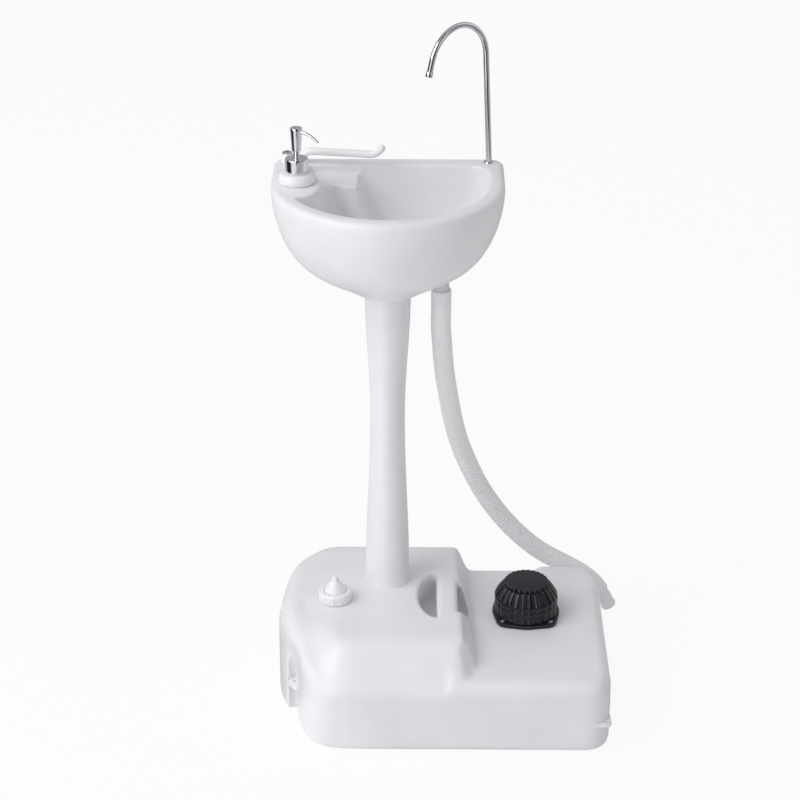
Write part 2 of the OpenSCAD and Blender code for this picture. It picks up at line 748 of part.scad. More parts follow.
// Coil spring: its wire runs round a helix as one closed skin.
module coil(r, wire, z0, z1, turns, per = 12) {
    path = [for (i = [0:turns * per])
        [r * cos(360 * i / per), r * sin(360 * i / per), mix(z0, z1, i / (turns * per))]];
    sweep(path, wire, 6);
}

module soap_spring() color("silver") {
    at_soap() coil(6.2, 0.6, rim_z - 27.2, rim_z - 4.8, 6);
}

module soap_stem() color("white") {
    at_soap() difference() {
        union() {
            translate([0, 0, rim_z - 4]) cylinder(r = stem_r, h = head_z + 10 - rim_z + 4);
            translate([0, 0, rim_z - 4]) cylinder(r = 8 - run_gap, h = 5);
        }
        translate([0, 0, rim_z - 5]) cylinder(r = 1.6, h = head_z + 20 - rim_z);
    }
}

nozzle_path = [[0, 0, -5], [12, -5.5, -5.5], [20, -9, -7.5], [26, -12, -11], [31.5, -14.5, -18]];

module soap_head() color("silver") {
    top = rim_z + soap_top;
    at_soap() {
        difference() {
            union() {
                translate([0, 0, head_z]) cylinder(r1 = 6.6, r2 = 8.8, h = head_h - 1.5);
                translate([0, 0, top - 1.5]) cylinder(r1 = 8.8, r2 = 7.8, h = 1.5);
            }
            translate([0, 0, head_z - 1]) cylinder(r = stem_r + run_gap, h = 11 + seat);
        }
        translate([0, 0, top]) sweep(nozzle_path, 2.1, 10);
    }
}

module soap_dip_tube() color("whitesmoke") {
    at_soap() ring(2.5, 1.5, rim_z - bottle_h + 2.5, rim_z - 28);
}

// ---- Towel rail ----

hub_r = 9.5;
hub_h = 14;
rail_angle = -8;
rail_tip_z = 29;

module at_rail() translate([rail_at[0], rail_at[1], 0]) children();

module rail_pivot() color("silver") {
    at_rail() {
        translate([0, 0, rim_z - 16]) cylinder(r = 4, h = hub_h + seat + 16 + 0.5);
        translate([0, 0, rim_z + hub_h + seat + 0.2]) cylinder(r1 = 7, r2 = 5.5, h = 2.2);
    }
}

module rail_nut() color("silver") {
    at_rail() translate([0, 0, rim_z - 12])
        difference() {
            cylinder(r = 7.5, h = 6, $fn = 6);
            translate([0, 0, -1]) cylinder(r = 4.05, h = 8);
        }
}

module towel_rail() color("white") {
    at_rail() rotate([0, 0, rail_angle]) {
        difference() {
            union() {
                translate([0, 0, rim_z + seat]) cylinder(r = hub_r, h = hub_h - 1.5);
                translate([0, 0, rim_z + seat + hub_h - 1.5]) cylinder(r1 = hub_r, r2 = hub_r - 1.5, h = 1.5);
            }
            translate([0, 0, rim_z - 1]) cylinder(r = 4 + run_gap, h = hub_h + 5);
        }
        translate([0, 0, rim_z]) sweep([[hub_r - 3, 0, 8], [15, 0, 8.7], [22, 0, 12.5], [30, 0, 17],
            [39, 0, 19], [rail_l - 22, 0, 19], [rail_l - 13, 0, 19.5], [rail_l - 6, 0, 23],
            [rail_l, 0, rail_tip_z]], rail_r);
        translate([rail_l, 0, rim_z + rail_tip_z]) sphere(r = rail_r - 0.05);
    }
}

// ---- Foot pump ----

pump_z = deck_lo + 1.5;
flange_h = 5;
wall_z = pump_z + flange_h;
pump_top = deck_lo + pump_h;
tread_r = 34;
shoulder_z = pump_top - 20;

module at_pump() translate([pump_at[0], pump_at[1], 0]) children();

function flange_plan(g) = [for (a = [0:5:355])
    let (c = pow(abs(sin(2 * a)), 6)) (pump_r + 7 * c + g) * [cos(a), sin(a)]];

module pump_gasket() color("dimgray") {
    at_pump() difference() {
        translate([0, 0, deck_lo]) linear_extrude(height = 1.5) polygon(flange_plan(-1));
        translate([0, 0, deck_lo - 1]) cylinder(r = cup_r + 0.5, h = 4);
        for (a = [45:90:315])
            rotate([0, 0, a]) translate([screw_pcr, 0, deck_lo - 1]) cylinder(r = 2.2, h = 4);
    }
}

// Flange with a cup that hangs in the tank; the valves and both hose stubs are in its floor.
module pump_base() color("black") {
    floor_z = wall_z - cup_h;
    at_pump() difference() {
        union() {
            translate([0, 0, pump_z]) linear_extrude(height = flange_h) polygon(flange_plan(0));
            translate([0, 0, floor_z]) cylinder(r = cup_r, h = cup_h - 1);
            translate([0, 0, floor_z - 12]) cylinder(r = 6, h = 13);
            translate([-24, 0, floor_z - 10]) cylinder(r = 6, h = 11);
        }
        translate([0, 0, floor_z + 3]) cylinder(r = cup_r - 3, h = cup_h + 5);
        translate([0, 0, floor_z - 13]) cylinder(r = 3.5, h = 30);
        translate([-24, 0, floor_z - 11]) cylinder(r = 3.5, h = 30);
        for (a = [45:90:315])
            rotate([0, 0, a]) translate([screw_pcr, 0, pump_z - 1]) cylinder(r = 2.2, h = 10);
    }
}

function flute_ring(r, depth, z) = [for (i = [0:flutes * 4 - 1])
    let (a = 90 * i / flutes) [
        (r - depth * pow(cos(180 * i / 4), 2)) * cos(a),
        (r - depth * pow(cos(180 * i / 4), 2)) * sin(a),
        z
    ]];

// Rubber bellows: fluted wall and fluted shoulder over a plain inside.
module pump_bellows() color("dimgray") {
    at_pump() difference() {
        loft([
            flute_ring(47.5, 0.4, wall_z),
            flute_ring(48, 1.6, wall_z + 4),
            flute_ring(48, 1.6, shoulder_z - 3),
            flute_ring(46.5, 1.8, shoulder_z + 1),
            flute_ring(40, 2.2, shoulder_z + 10),
            flute_ring(35.5, 1.2, pump_top - 5)
        ]);
        translate([0, 0, wall_z - 1]) cylinder(r = 43.5, h = shoulder_z - wall_z - 1);
        translate([0, 0, shoulder_z - 2 - eps]) cylinder(r1 = 43.5, r2 = 31, h = pump_top - 7.5 - shoulder_z);
        translate([0, 0, pump_top - 10]) cylinder(r = 28, h = 10);
    }
}

module pump_tread() color("black") {
    at_pump() {
        translate([0, 0, pump_top - 5]) linear_extrude(height = 5)
            polygon([for (i = [0:flutes * 4 - 1])
                let (a = 90 * i / flutes) (i % 4 < 2 ? tread_r : tread_r - 2.2) * [cos(a), sin(a)]]);
        // Guide for the return spring.
        translate([0, 0, pump_top - 12]) ring(9, 7, 0, 8);
    }
}

module pump_spring() color("silver") {
    at_pump() coil(12, 1, wall_z - cup_h + 4.1, pump_top - 6.1, 6);
}

module pump_screws() color("silver") {
    at_pump() for (a = [45:90:315])
        rotate([0, 0, a]) translate([screw_pcr, 0, 0]) {
            translate([0, 0, deck_lo - 10]) cylinder(r = screw_r - 0.05, h = pump_z + flange_h - deck_lo + 10 + eps);
            translate([0, 0, pump_z + flange_h]) cylinder(r1 = 3.6, r2 = 2.8, h = 2);
        }
}

module suction_tube() color("white") {
    at_pump() ring(4.5, 3, 22, wall_z - cup_h - 12);
}

module suction_strainer() color("white") {
    at_pump() difference() {
        translate([0, 0, 6]) cylinder(r = 9, h = 16);
        translate([0, 0, 5]) cylinder(r = 7, h = 14);
        translate([0, 0, 18]) cylinder(r = 3, h = 10);
        for (a = [0:45:315])
            rotate([0, 0, a]) translate([4, -1, 8]) cube([8, 2, 8]);
    }
}

// Elbow that turns the pump's outlet towards the column.
module outlet_elbow() color("white") {
    z = supply_path[0][2];
    at_pump() difference() {
        union() {
            translate([-24, 0, z - 5.5]) cylinder(r = 5.5, h = wall_z - cup_h - 10 - z + 5.5);
            translate([-62, 0, z]) rotate([0, 90, 0]) cylinder(r = 4.5, h = 38);
        }
        translate([-24, 0, z]) cylinder(r = 3, h = 30);
        translate([-70, 0, z]) rotate([0, 90, 0]) cylinder(r = 3, h = 46);
    }
}

tank();
left_lug();
right_lug();
filler_neck();
cap_gasket();
cap_insert();
cap_ring();
column();
basin();
drain_strainer();
drain_gasket();
drain_nut();
drain_cuff();
drain_hose();
drain_end();
tap_shank();
tap_washer();
tap_nut();
tap_tube();
tap_nozzle();
supply_hose();
soap_bottle();
soap_bush();
soap_collar();
soap_barrel();
soap_spring();
soap_stem();
soap_head();
soap_dip_tube();
rail_pivot();
rail_nut();
towel_rail();
pump_gasket();
pump_base();
pump_bellows();
pump_tread();
pump_spring();
pump_screws();
suction_tube();
suction_strainer();
outlet_elbow();
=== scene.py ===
import bpy
import math
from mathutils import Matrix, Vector


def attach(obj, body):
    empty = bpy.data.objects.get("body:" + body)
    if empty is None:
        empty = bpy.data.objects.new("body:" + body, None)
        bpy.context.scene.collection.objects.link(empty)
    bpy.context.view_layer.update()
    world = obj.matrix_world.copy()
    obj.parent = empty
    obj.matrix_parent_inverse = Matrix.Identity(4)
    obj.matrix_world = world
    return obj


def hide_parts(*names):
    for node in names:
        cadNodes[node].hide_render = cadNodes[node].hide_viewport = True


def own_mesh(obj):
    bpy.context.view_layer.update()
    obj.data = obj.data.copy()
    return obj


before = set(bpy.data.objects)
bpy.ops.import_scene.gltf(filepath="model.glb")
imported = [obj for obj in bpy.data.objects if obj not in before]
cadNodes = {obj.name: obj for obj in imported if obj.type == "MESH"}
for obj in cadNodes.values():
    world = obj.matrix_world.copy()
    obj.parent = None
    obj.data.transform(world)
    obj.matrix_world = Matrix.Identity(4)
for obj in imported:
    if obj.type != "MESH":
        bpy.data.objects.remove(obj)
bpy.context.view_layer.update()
bpy.ops.object.select_all(action="DESELECT")
bpy.context.scene.view_settings.view_transform = "Standard"
print("frame loaded")

# the camera is fitted to the photograph
cameraSet = {
    "place": (0.0326835, -3.1955427, 2.0194459),
    "turn": (63.9821, -0.1996, 0.3567),
    "lens": 108.005,
    "sensor": 36,
}
bpy.ops.object.camera_add(location=cameraSet["place"], rotation=[math.radians(a) for a in cameraSet["turn"]])
camera = bpy.context.object
camera.name = "camera"
camera.data.lens = cameraSet["lens"]
camera.data.sensor_width = cameraSet["sensor"]
bpy.context.scene.camera = camera

# sizes are in mm from here on, with z = 0 on the floor and the column's axis at x = y = 0
mm = 0.001
rimZ = 797.5
neckZ = 635
highDeck = 156
lowDeck = 114
# where pieces stand, seen from above
columnAt = (0, 0)
drainAt = (78, 38)
capAt = (-78, -65)
pumpAt = (212, -33)
tapAt = (145.5, 98)
railAt = (-147.5, 95)
soapAt = (-130, 14)
backNotchAt = (-53, 106)


def cosDeg(angle):
    return math.cos(math.radians(angle))


def sinDeg(angle):
    return math.sin(math.radians(angle))


screwCircle = 51
screwPlaces = [(pumpAt[0] + screwCircle * cosDeg(a), pumpAt[1] + screwCircle * sinDeg(a))
               for a in (45, 135, 225, 315)]


def mix(a, b, t):
    return a + (b - a) * t


def ease(t):
    t = min(1.0, max(0.0, t))
    return t * t * (3 - 2 * t)


def crisp(t):
    # the same change with a tighter start and end
    return ease(0.5 + (t - 0.5) * 1.3)


def graded(start, end, steps, power):
    # values from start to end, closer together at the start when the power is over 1
    return [mix(start, end, (i / steps) ** power) for i in range(steps + 1)]


def arcPoints(centre, radius, start, end, steps):
    points = []
    for i in range(steps + 1):
        angle = mix(start, end, i / steps)
        points.append((centre[0] + radius * cosDeg(angle), centre[1] + radius * sinDeg(angle)))
    return points


def smoothTable(table, x):
    # a curve through the table's points that never overshoots
    if x <= table[0][0]:
        return table[0][1]
    if x >= table[-1][0]:
        return table[-1][1]
    steps = [(b[1] - a[1]) / (b[0] - a[0]) for a, b in zip(table, table[1:])]
    slopes = [steps[0]]
    for a, b in zip(steps, steps[1:]):
        slopes.append(0 if a * b <= 0 else 2 * a * b / (a + b))
    slopes.append(steps[-1])
    for i in range(len(table) - 1):
        if x <= table[i + 1][0]:
            width = table[i + 1][0] - table[i][0]
            t = (x - table[i][0]) / width
            return ((2 * t ** 3 - 3 * t ** 2 + 1) * table[i][1]
                    + (t ** 3 - 2 * t ** 2 + t) * width * slopes[i]
                    + (3 * t ** 2 - 2 * t ** 3) * table[i + 1][1]
                    + (t ** 3 - t ** 2) * width * slopes[i + 1])


def smoothPath(points, perSpan):
    # a round curve through the points
    points = [Vector(p) for p in points]
    out = []
    for i in range(len(points) - 1):
        a = points[max(i - 1, 0)]
        b = points[i]
        c = points[i + 1]
        d = points[min(i + 2, len(points) - 1)]
        for k in range(perSpan):
            t = k / perSpan
            out.append(0.5 * (2 * b + (c - a) * t + (2 * a - 5 * b + 4 * c - d) * t ** 2
                              + (3 * b - a - 3 * c + d) * t ** 3))
    out.append(points[-1])
    return out


def pathReach(points):
    # how far along the path each of its points lies
    reach = [0.0]
    for a, b in zip(points, points[1:]):
        reach.append(reach[-1] + (b - a).length)
    return reach


def evenPath(points, count):
    # the same path, cut into equal lengths
    reach = pathReach(points)
    out = []
    k = 0
    for i in range(count):
        goal = reach[-1] * i / (count - 1)
        while k < len(points) - 2 and reach[k + 1] < goal:
            k += 1
        t = (goal - reach[k]) / (reach[k + 1] - reach[k])
        out.append(points[k].lerp(points[k + 1], min(1.0, max(0.0, t))))
    return out


def raised(profile, z):
    # a profile given from its own foot or rim, lifted to its height
    return [(radius, z + height) for radius, height in profile]


def deselect():
    bpy.ops.object.select_all(action="DESELECT")


def choose(piece):
    deselect()
    piece.select_set(True)
    bpy.context.view_layer.objects.active = piece


def meshPiece(name, points, faces):
    mesh = bpy.data.meshes.new(name)
    mesh.from_pydata([tuple(c * mm for c in p) for p in points], [], faces)
    mesh.update()
    piece = bpy.data.objects.new(name, mesh)
    bpy.context.collection.objects.link(piece)
    choose(piece)
    bpy.ops.object.mode_set(mode="EDIT")
    bpy.ops.mesh.select_all(action="SELECT")
    bpy.ops.mesh.normals_make_consistent(inside=False)
    bpy.ops.object.mode_set(mode="OBJECT")
    return piece


def loftPiece(name, rings):
    # a closed skin through rings with the same number of points
    n = len(rings[0])
    points = [p for ring in rings for p in ring]
    faces = [tuple(range(n))]
    for k in range(len(rings) - 1):
        for i in range(n):
            a = k * n + i
            b = k * n + (i + 1) % n
            faces.append((a, a + n, b + n, b))
    faces.append(tuple((len(rings) - 1) * n + i for i in range(n - 1, -1, -1)))
    return meshPiece(name, points, faces)


def prism(name, outline, low, high):
    return loftPiece(name, [[(p[0], p[1], z) for p in outline] for z in (low, high)])


def modify(piece, kind, **settings):
    choose(piece)
    modifier = piece.modifiers.new(kind.lower(), kind)
    for key, value in settings.items():
        setattr(modifier, key, value)
    bpy.ops.object.modifier_apply(modifier=modifier.name)


def combine(piece, other, operation="DIFFERENCE"):
    modify(piece, "BOOLEAN", operation=operation, solver="MANIFOLD", object=other)
    bpy.data.objects.remove(other, do_unlink=True)


def post(at, radius, low, high, sides):
    # an upright round bar, to cut a hole with or to add as a boss
    bpy.ops.mesh.primitive_cylinder_add(vertices=sides, radius=radius * mm, depth=(high - low) * mm,
                                        location=(at[0] * mm, at[1] * mm, (low + high) / 2 * mm))
    bpy.ops.object.transform_apply(location=True, rotation=True, scale=True)
    return bpy.context.object


def turned(name, at, profile, segments=96, closed=False, bevel=0.0):
    # a circle is drawn up its axis and resized at each step, like work on a lathe
    r0, z0 = profile[0]
    bpy.ops.mesh.primitive_circle_add(
        vertices=segments, radius=r0 * mm, location=(at[0] * mm, at[1] * mm, z0 * mm),
        fill_type="NOTHING" if closed else "NGON")
    piece = bpy.context.object
    piece.name = name
    bpy.ops.object.transform_apply(location=True, rotation=True, scale=True)
    bpy.ops.object.mode_set(mode="EDIT")
    bpy.ops.mesh.select_mode(type="EDGE")
    bpy.ops.mesh.select_all(action="SELECT")
    for r, z in profile[1:]:
        bpy.ops.mesh.extrude_edges_move(TRANSFORM_OT_translate={"value": (0, 0, (z - z0) * mm)})
        if abs(r - r0) > 1e-6:
            share = r / r0
            centre = (at[0] * mm, at[1] * mm, z * mm)
            bpy.ops.transform.resize(value=(share, share, 1), center_override=centre)
        r0, z0 = r, z
    if closed:
        bpy.ops.mesh.select_all(action="DESELECT")
        bpy.ops.mesh.select_non_manifold()
        bpy.ops.mesh.bridge_edge_loops()
    else:
        bpy.ops.mesh.edge_face_add()
    bpy.ops.mesh.select_all(action="SELECT")
    bpy.ops.mesh.remove_doubles(threshold=1e-7)
    bpy.ops.mesh.normals_make_consistent(inside=False)
    bpy.ops.object.mode_set(mode="OBJECT")
    if bevel:
        modify(piece, "BEVEL", width=bevel * mm, segments=2, limit_method="ANGLE",
               angle_limit=math.radians(35))
    return piece


def tube(name, path, radii, sides):
    # a round skin along a path; each ring's direction is carried on from the one before
    last = len(path) - 1
    path = [Vector(p) for p in path]
    side = None
    points = []
    for i, p in enumerate(path):
        along = (path[min(i + 1, last)] - path[max(i - 1, 0)]).normalized()
        if side is None:
            side = along.orthogonal().normalized()
        side = (side - along * side.dot(along)).normalized()
        up = along.cross(side)
        for k in range(sides):
            a = 2 * math.pi * k / sides
            points.append(p + radii[i] * (math.cos(a) * side + math.sin(a) * up))
    faces = [tuple(range(sides - 1, -1, -1))]
    for i in range(last):
        for k in range(sides):
            a = i * sides + k
            b = i * sides + (k + 1) % sides
            faces.append((a, b, b + sides, a + sides))
    faces.append(tuple(last * sides + k for k in range(sides)))
    return meshPiece(name, points, faces)


def nodeCopy(node, name):
    piece = cadNodes[node].copy()
    piece.data = cadNodes[node].data.copy()
    piece.parent = None
    piece.name = name
    bpy.context.collection.objects.link(piece)
    return piece


def refinedCopy(node, name, bevel, segments=2):
    # a copy of a CAD solid: merged, its flat faces joined, and its edges rounded
    piece = nodeCopy(node, name)
    choose(piece)
    bpy.ops.object.mode_set(mode="EDIT")
    bpy.ops.mesh.select_all(action="SELECT")
    bpy.ops.mesh.remove_doubles(threshold=1e-6)
    bpy.ops.mesh.dissolve_limited(angle_limit=math.radians(1))
    bpy.ops.object.mode_set(mode="OBJECT")
    modify(piece, "BEVEL", width=bevel * mm, segments=segments, limit_method="ANGLE",
           angle_limit=math.radians(30))
    return piece


def softSkin(piece, voxel, passes):
    # blown plastic can't hold a sharp edge: the skin is remeshed and relaxed
    modify(piece, "REMESH", mode="VOXEL", voxel_size=voxel * mm, adaptivity=0.0)
    if passes:
        modify(piece, "SMOOTH", factor=0.5, iterations=passes)


def finishPiece(piece, material, body, node, angle=40):
    choose(piece)
    bpy.ops.object.shade_smooth_by_angle(angle=math.radians(angle))
    piece.data.materials.clear()
    piece.data.materials.append(material)
    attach(piece, body)
    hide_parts(node)
    deselect()


def linearColour(hexText):
    out = []
    for i in (1, 3, 5):
        c = int(hexText[i:i + 2], 16) / 255
        out.append(c / 12.92 if c <= 0.04045 else ((c + 0.055) / 1.055) ** 2.4)
    return (*out, 1.0)


def addNode(tree, kind, settings=None, links=None):
    node = tree.nodes.new(kind)
    for key, value in (settings or {}).items():
        if isinstance(key, int) or key in node.inputs:
            node.inputs[key].default_value = value
        else:
            setattr(node, key, value)
    for key, (source, output) in (links or {}).items():
        tree.links.new(source.outputs[output], node.inputs[key])
    return node


reliefSet = {
    "darkUpTo": 0.3,   # where the colour noise is all dark, and where it is all light
    "lightFrom": 0.7,
    "waveDeep": 0.02,  # depth as a share of the pattern's own size
    "grainDeep": 0.1,
}


def surface(name, look):
    # colour with a slow change, roughness with a fine one, and a relief of two sizes of grain
    broadSize = look["broadMm"] * mm
    grainSize = look["grainMm"] * mm
    material = bpy.data.materials.new(name)
    material.use_nodes = True
    tree = material.node_tree
    tree.nodes.clear()
    place = addNode(tree, "ShaderNodeTexCoord")
    broad = addNode(tree, "ShaderNodeTexNoise", {"Scale": 1 / broadSize, "Detail": 3.0},
                    {"Vector": (place, "Object")})
    fine = addNode(tree, "ShaderNodeTexNoise", {"Scale": 1 / grainSize, "Detail": 2.0},
                   {"Vector": (place, "Object")})
    colours = addNode(tree, "ShaderNodeValToRGB", {}, {"Fac": (broad, "Fac")})
    dark, light = colours.color_ramp.elements
    dark.position = reliefSet["darkUpTo"]
    dark.color = linearColour(look["dark"])
    light.position = reliefSet["lightFrom"]
    light.color = linearColour(look["light"])
    rough = addNode(tree, "ShaderNodeMapRange", {"To Min": look["rough"][0], "To Max": look["rough"][1]},
                    {"Value": (fine, "Fac")})
    waves = addNode(tree, "ShaderNodeBump",
                    {"Strength": look["wave"], "Distance": broadSize * reliefSet["waveDeep"]},
                    {"Height": (broad, "Fac")})
    grain = addNode(tree, "ShaderNodeBump",
                    {"Strength": look["grain"], "Distance": grainSize * reliefSet["grainDeep"]},
                    {"Height": (fine, "Fac"), "Normal": (waves, "Normal")})
    shader = addNode(tree, "ShaderNodeBsdfPrincipled", look["shader"],
                     {"Base Color": (colours, "Color"), "Roughness": (rough, "Result"),
                      "Normal": (grain, "Normal")})
    addNode(tree, "ShaderNodeOutputMaterial", {}, {"Surface": (shader, "BSDF")})
    return material


# HDPE, blow moulded: satin, a little uneven where the wall is thick or thin
blownHdpe = surface("blownHdpe", {
    "dark": "#efeef2", "light": "#f3f2f5", "broadMm": 45, "grainMm": 1.2, "rough": (0.3, 0.38),
    "wave": 0.05, "grain": 0.08, "shader": {"IOR": 1.53}})
# polypropylene, injection moulded: whiter and closer than the blown tank
mouldedPp = surface("mouldedPp", {
    "dark": "#f3f3f6", "light": "#f7f7f9", "broadMm": 18, "grainMm": 0.7, "rough": (0.24, 0.32),
    "wave": 0.06, "grain": 0.08, "shader": {"IOR": 1.49}})
# chrome plate over brass or ABS: a mirror with a trace of polishing waves
chromePlate = surface("chromePlate", {
    "dark": "#dcdde0", "light": "#e2e3e6", "broadMm": 14, "grainMm": 1.0, "rough": (0.04, 0.08),
    "wave": 0.04, "grain": 0.02, "shader": {"Metallic": 1.0}})
# ABS, injection moulded in a spark-eroded tool: black, satin, finely pitted; pits drawn at 0.8 mm to show
pittedAbs = surface("pittedAbs", {
    "dark": "#11101a", "light": "#171622", "broadMm": 12, "grainMm": 0.8, "rough": (0.34, 0.5),
    "wave": 0.10, "grain": 0.35, "shader": {"IOR": 1.54}})
# EPDM rubber, compression moulded: black with a slight bloom
bellowsRubber = surface("bellowsRubber", {
    "dark": "#090912", "light": "#0f0f1a", "broadMm": 9, "grainMm": 0.9, "rough": (0.18, 0.28),
    "wave": 0.15, "grain": 0.20, "shader": {"IOR": 1.5}})
# nitrile rubber, stamped from sheet: dull black
nitrileSheet = surface("nitrileSheet", {
    "dark": "#1a1a1b", "light": "#232324", "broadMm": 6, "grainMm": 0.5, "rough": (0.6, 0.75),
    "wave": 0.1, "grain": 0.3, "shader": {"IOR": 1.5}})
# LDPE, extruded and corrugated: milky, lets some light through
milkyPe = surface("milkyPe", {
    "dark": "#f4f4f9", "light": "#f9f9fc", "broadMm": 25, "grainMm": 1.5, "rough": (0.25, 0.35),
    "wave": 0.03, "grain": 0.03,
    "shader": {"IOR": 1.51, "Subsurface Weight": 0.5, "Subsurface Radius": (1, 1, 1),
               "Subsurface Scale": 0.012}})
# PVC tube, extruded: clear with a grey tinge
clearPvc = surface("clearPvc", {
    "dark": "#dfe3e6", "light": "#e8ecee", "broadMm": 20, "grainMm": 1.5, "rough": (0.08, 0.14),
    "wave": 0.03, "grain": 0.02, "shader": {"IOR": 1.53, "Transmission Weight": 0.8}})
# stainless steel, drawn and tumbled: bright, with fine marks
tumbledSteel = surface("tumbledSteel", {
    "dark": "#c4c5c8", "light": "#d2d3d5", "broadMm": 4, "grainMm": 0.4, "rough": (0.16, 0.3),
    "wave": 0.05, "grain": 0.12, "shader": {"Metallic": 1.0}})
# brass, turned from bar: warm yellow with tool marks
turnedBrass = surface("turnedBrass", {
    "dark": "#b8923f", "light": "#c9a552", "broadMm": 5, "grainMm": 0.4, "rough": (0.2, 0.32),
    "wave": 0.05, "grain": 0.12, "shader": {"Metallic": 1.0}})
print("materials made")


# the drain hose: one smooth run from the basin's outlet to the floor behind the tank
hoseSet = {
    "route": [(78, 38, 622), (78, 38, 592), (78, 41, 562), (80, 46, 533), (82, 54, 505), (85, 62, 474),
              (89, 71, 445), (94, 81, 412), (100, 91, 378), (109, 102, 340), (121, 113, 303), (137, 124, 262),
              (157, 134, 222), (181, 143, 184), (209, 150, 149), (242, 157, 117), (278, 163, 92),
              (307, 167, 73), (329, 170, 53), (343, 172, 34)],
    "radius": 15.0,
    "rib": 0.7,
    "pitch": 4.0,
    "ringsPerRib": 6,
    "ribCrest": 0.7,  # below 1 the crests are broad and the valleys narrow
    # the cuff on the drain's tail: radius, and height above the start of the route
    "cuff": [(9.6, 0), (11.5, 0), (11.5, 2), (12.1, 3.5), (11.5, 5), (11.5, 15.5), (11.0, 17), (9.6, 17)],
    "endRoute": [(343, 172, 34), (348.6, 172.8, 26.4), (359, 173, 5.8)],
    "endRadius": 11.5,
    "endRings": 25,
    "bead": {19: 0.45, 20: 0.9, 21: 0.9, 22: 0.9, 23: 0.45},  # rings of the band near the open end
    "mouthWall": 1.8,
    "mouthDeep": 14,
}
hosePath = smoothPath(hoseSet["route"], 8)
hoseLength = pathReach(hosePath)[-1]
ribCount = round(hoseLength / hoseSet["pitch"])
hoseRings = evenPath(hosePath, ribCount * hoseSet["ringsPerRib"] + 1)
hoseRadii = []
for i in range(len(hoseRings)):
    wave = 0.5 - 0.5 * math.cos(2 * math.pi * i / hoseSet["ringsPerRib"])
    hoseRadii.append(hoseSet["radius"] - hoseSet["rib"] * (1 - wave ** hoseSet["ribCrest"]))
drainHose = tube("drainHose", hoseRings, hoseRadii, sides=28)
finishPiece(drainHose, milkyPe, "stand", "drain_hose", angle=80)

cuffProfile = raised(hoseSet["cuff"], hoseSet["route"][0][2])
drainCuff = turned("drainCuff", drainAt, cuffProfile, segments=48, closed=True, bevel=0.2)
finishPiece(drainCuff, milkyPe, "stand", "drain_cuff")

endRings = evenPath(smoothPath(hoseSet["endRoute"], 10), hoseSet["endRings"])
endRadii = [hoseSet["endRadius"] + hoseSet["bead"].get(i, 0.0) for i in range(hoseSet["endRings"])]
drainEnd = tube("drainEnd", endRings, endRadii, sides=40)
# the mouth is sunk in, so that the hose ends in an open rim
choose(drainEnd)
bpy.ops.object.mode_set(mode="EDIT")
bpy.ops.mesh.select_mode(type="FACE")
bpy.ops.mesh.select_all(action="DESELECT")
bpy.ops.object.mode_set(mode="OBJECT")
drainEnd.data.polygons[-1].select = True
bpy.ops.object.mode_set(mode="EDIT")
bpy.ops.mesh.inset(thickness=hoseSet["mouthWall"] * mm)
inward = (Vector(hoseSet["endRoute"][1]) - Vector(hoseSet["endRoute"][2])).normalized()
mouthWay = inward * hoseSet["mouthDeep"] * mm
bpy.ops.mesh.extrude_region_move(TRANSFORM_OT_translate={"value": tuple(mouthWay)})
bpy.ops.object.mode_set(mode="OBJECT")
finishPiece(drainEnd, mouldedPp, "stand", "drain_end")

print("drain hose", round(hoseLength), "mm,", ribCount, "ribs")


# the tank is blow moulded: lofted from its cross-sections, then relaxed like blown plastic
tankSet = {
    "left": 164, "right": 331, "front": 241, "back": 110,  # reach from the column's axis
    "edge": 18, "endEdge": 32, "foot": 8, "corner": 37,    # roundings
    "bandZ": 94, "slope": 62,  # top of the upright front, and how far the slope above it reaches in
    "step": 101, "stepRun": 32, "stepSkew": 5, "stepLean": 0.42, "stepFootRun": 18,
    "hump": 8, "humpX": 228, "humpRun": 14, "humpIn": 46,  # raised pad at the right back
    "endFrom": 80, "endRun": 66,  # the slope turns to a round edge over this stretch at the left end
    # the left end's plan: length, depth, and the curve between them as shares
    "leftFront": (110, 181, [(0, 1), (0.24, 0.983), (0.39, 0.945), (0.48, 0.9), (0.57, 0.829), (0.64, 0.751),
                             (0.68, 0.669), (0.72, 0.53), (0.79, 0.492), (0.845, 0.425), (0.9, 0.348),
                             (0.96, 0.227), (0.99, 0.12), (1, 0)]),
    "leftBack": (104, 170, [(0, 1), (0.19, 0.994), (0.36, 0.97), (0.46, 0.93), (0.55, 0.87), (0.67, 0.79),
                            (0.76, 0.706), (0.85, 0.6), (0.94, 0.382), (0.98, 0.206), (1, 0)]),
    "evenFrom": -54, "evenTo": 288,  # between these the stations are evenly spaced
    "leftSteps": 44, "evenSteps": 140, "rightSteps": 24,
    "cornerCut": 3.0,
    "voxel": 2.8,
    "passes": 4,
    # the left shoulder is relaxed more: it starts at these places and is full after these runs
    "shoulder": (-70, -90, 60), "shoulderRun": (25, 30, 25), "shoulderPasses": 120,
    # the hollow lies this far in, so that the relaxed skin stays whole
    "hollowInset": 7,
    "hollowStations": [*graded(-157, -62, 10, 2), *range(-50, 71, 12), *range(86, 143, 4),
                       *range(148, 281, 12), 288, 303, 315, 323],
    # upright round shapes: place, radius, low, high, sides
    "backNotch": (backNotchAt, 6, -5, 200, 96),
    "hollowPosts": [(backNotchAt, 12, -5, 200, 24), (columnAt, 37.5, 122, 200, 48)]
                   + [(at, 5, 98, 140, 16) for at in screwPlaces],
    # the column's socket, the supply hose's way through, the filler, the pump and its screws
    "holes": [(columnAt, 33.3, 127.7, 165, 96), (columnAt, 6, 106, 146, 32), (capAt, 16.8, 144, 164, 96),
              (pumpAt, 38.5, 102, 122, 96)] + [(at, 1.7, 101, 121, 16) for at in screwPlaces],
}
pocketSet = {"at": (78, -48), "long": 67, "left": 31, "right": 46, "floor": 108, "top": 190,
             "wall": 6, "floorWall": 5}
gripSet = {"width": 32, "height": 24, "corner": 8, "shift": -3, "end": 3}
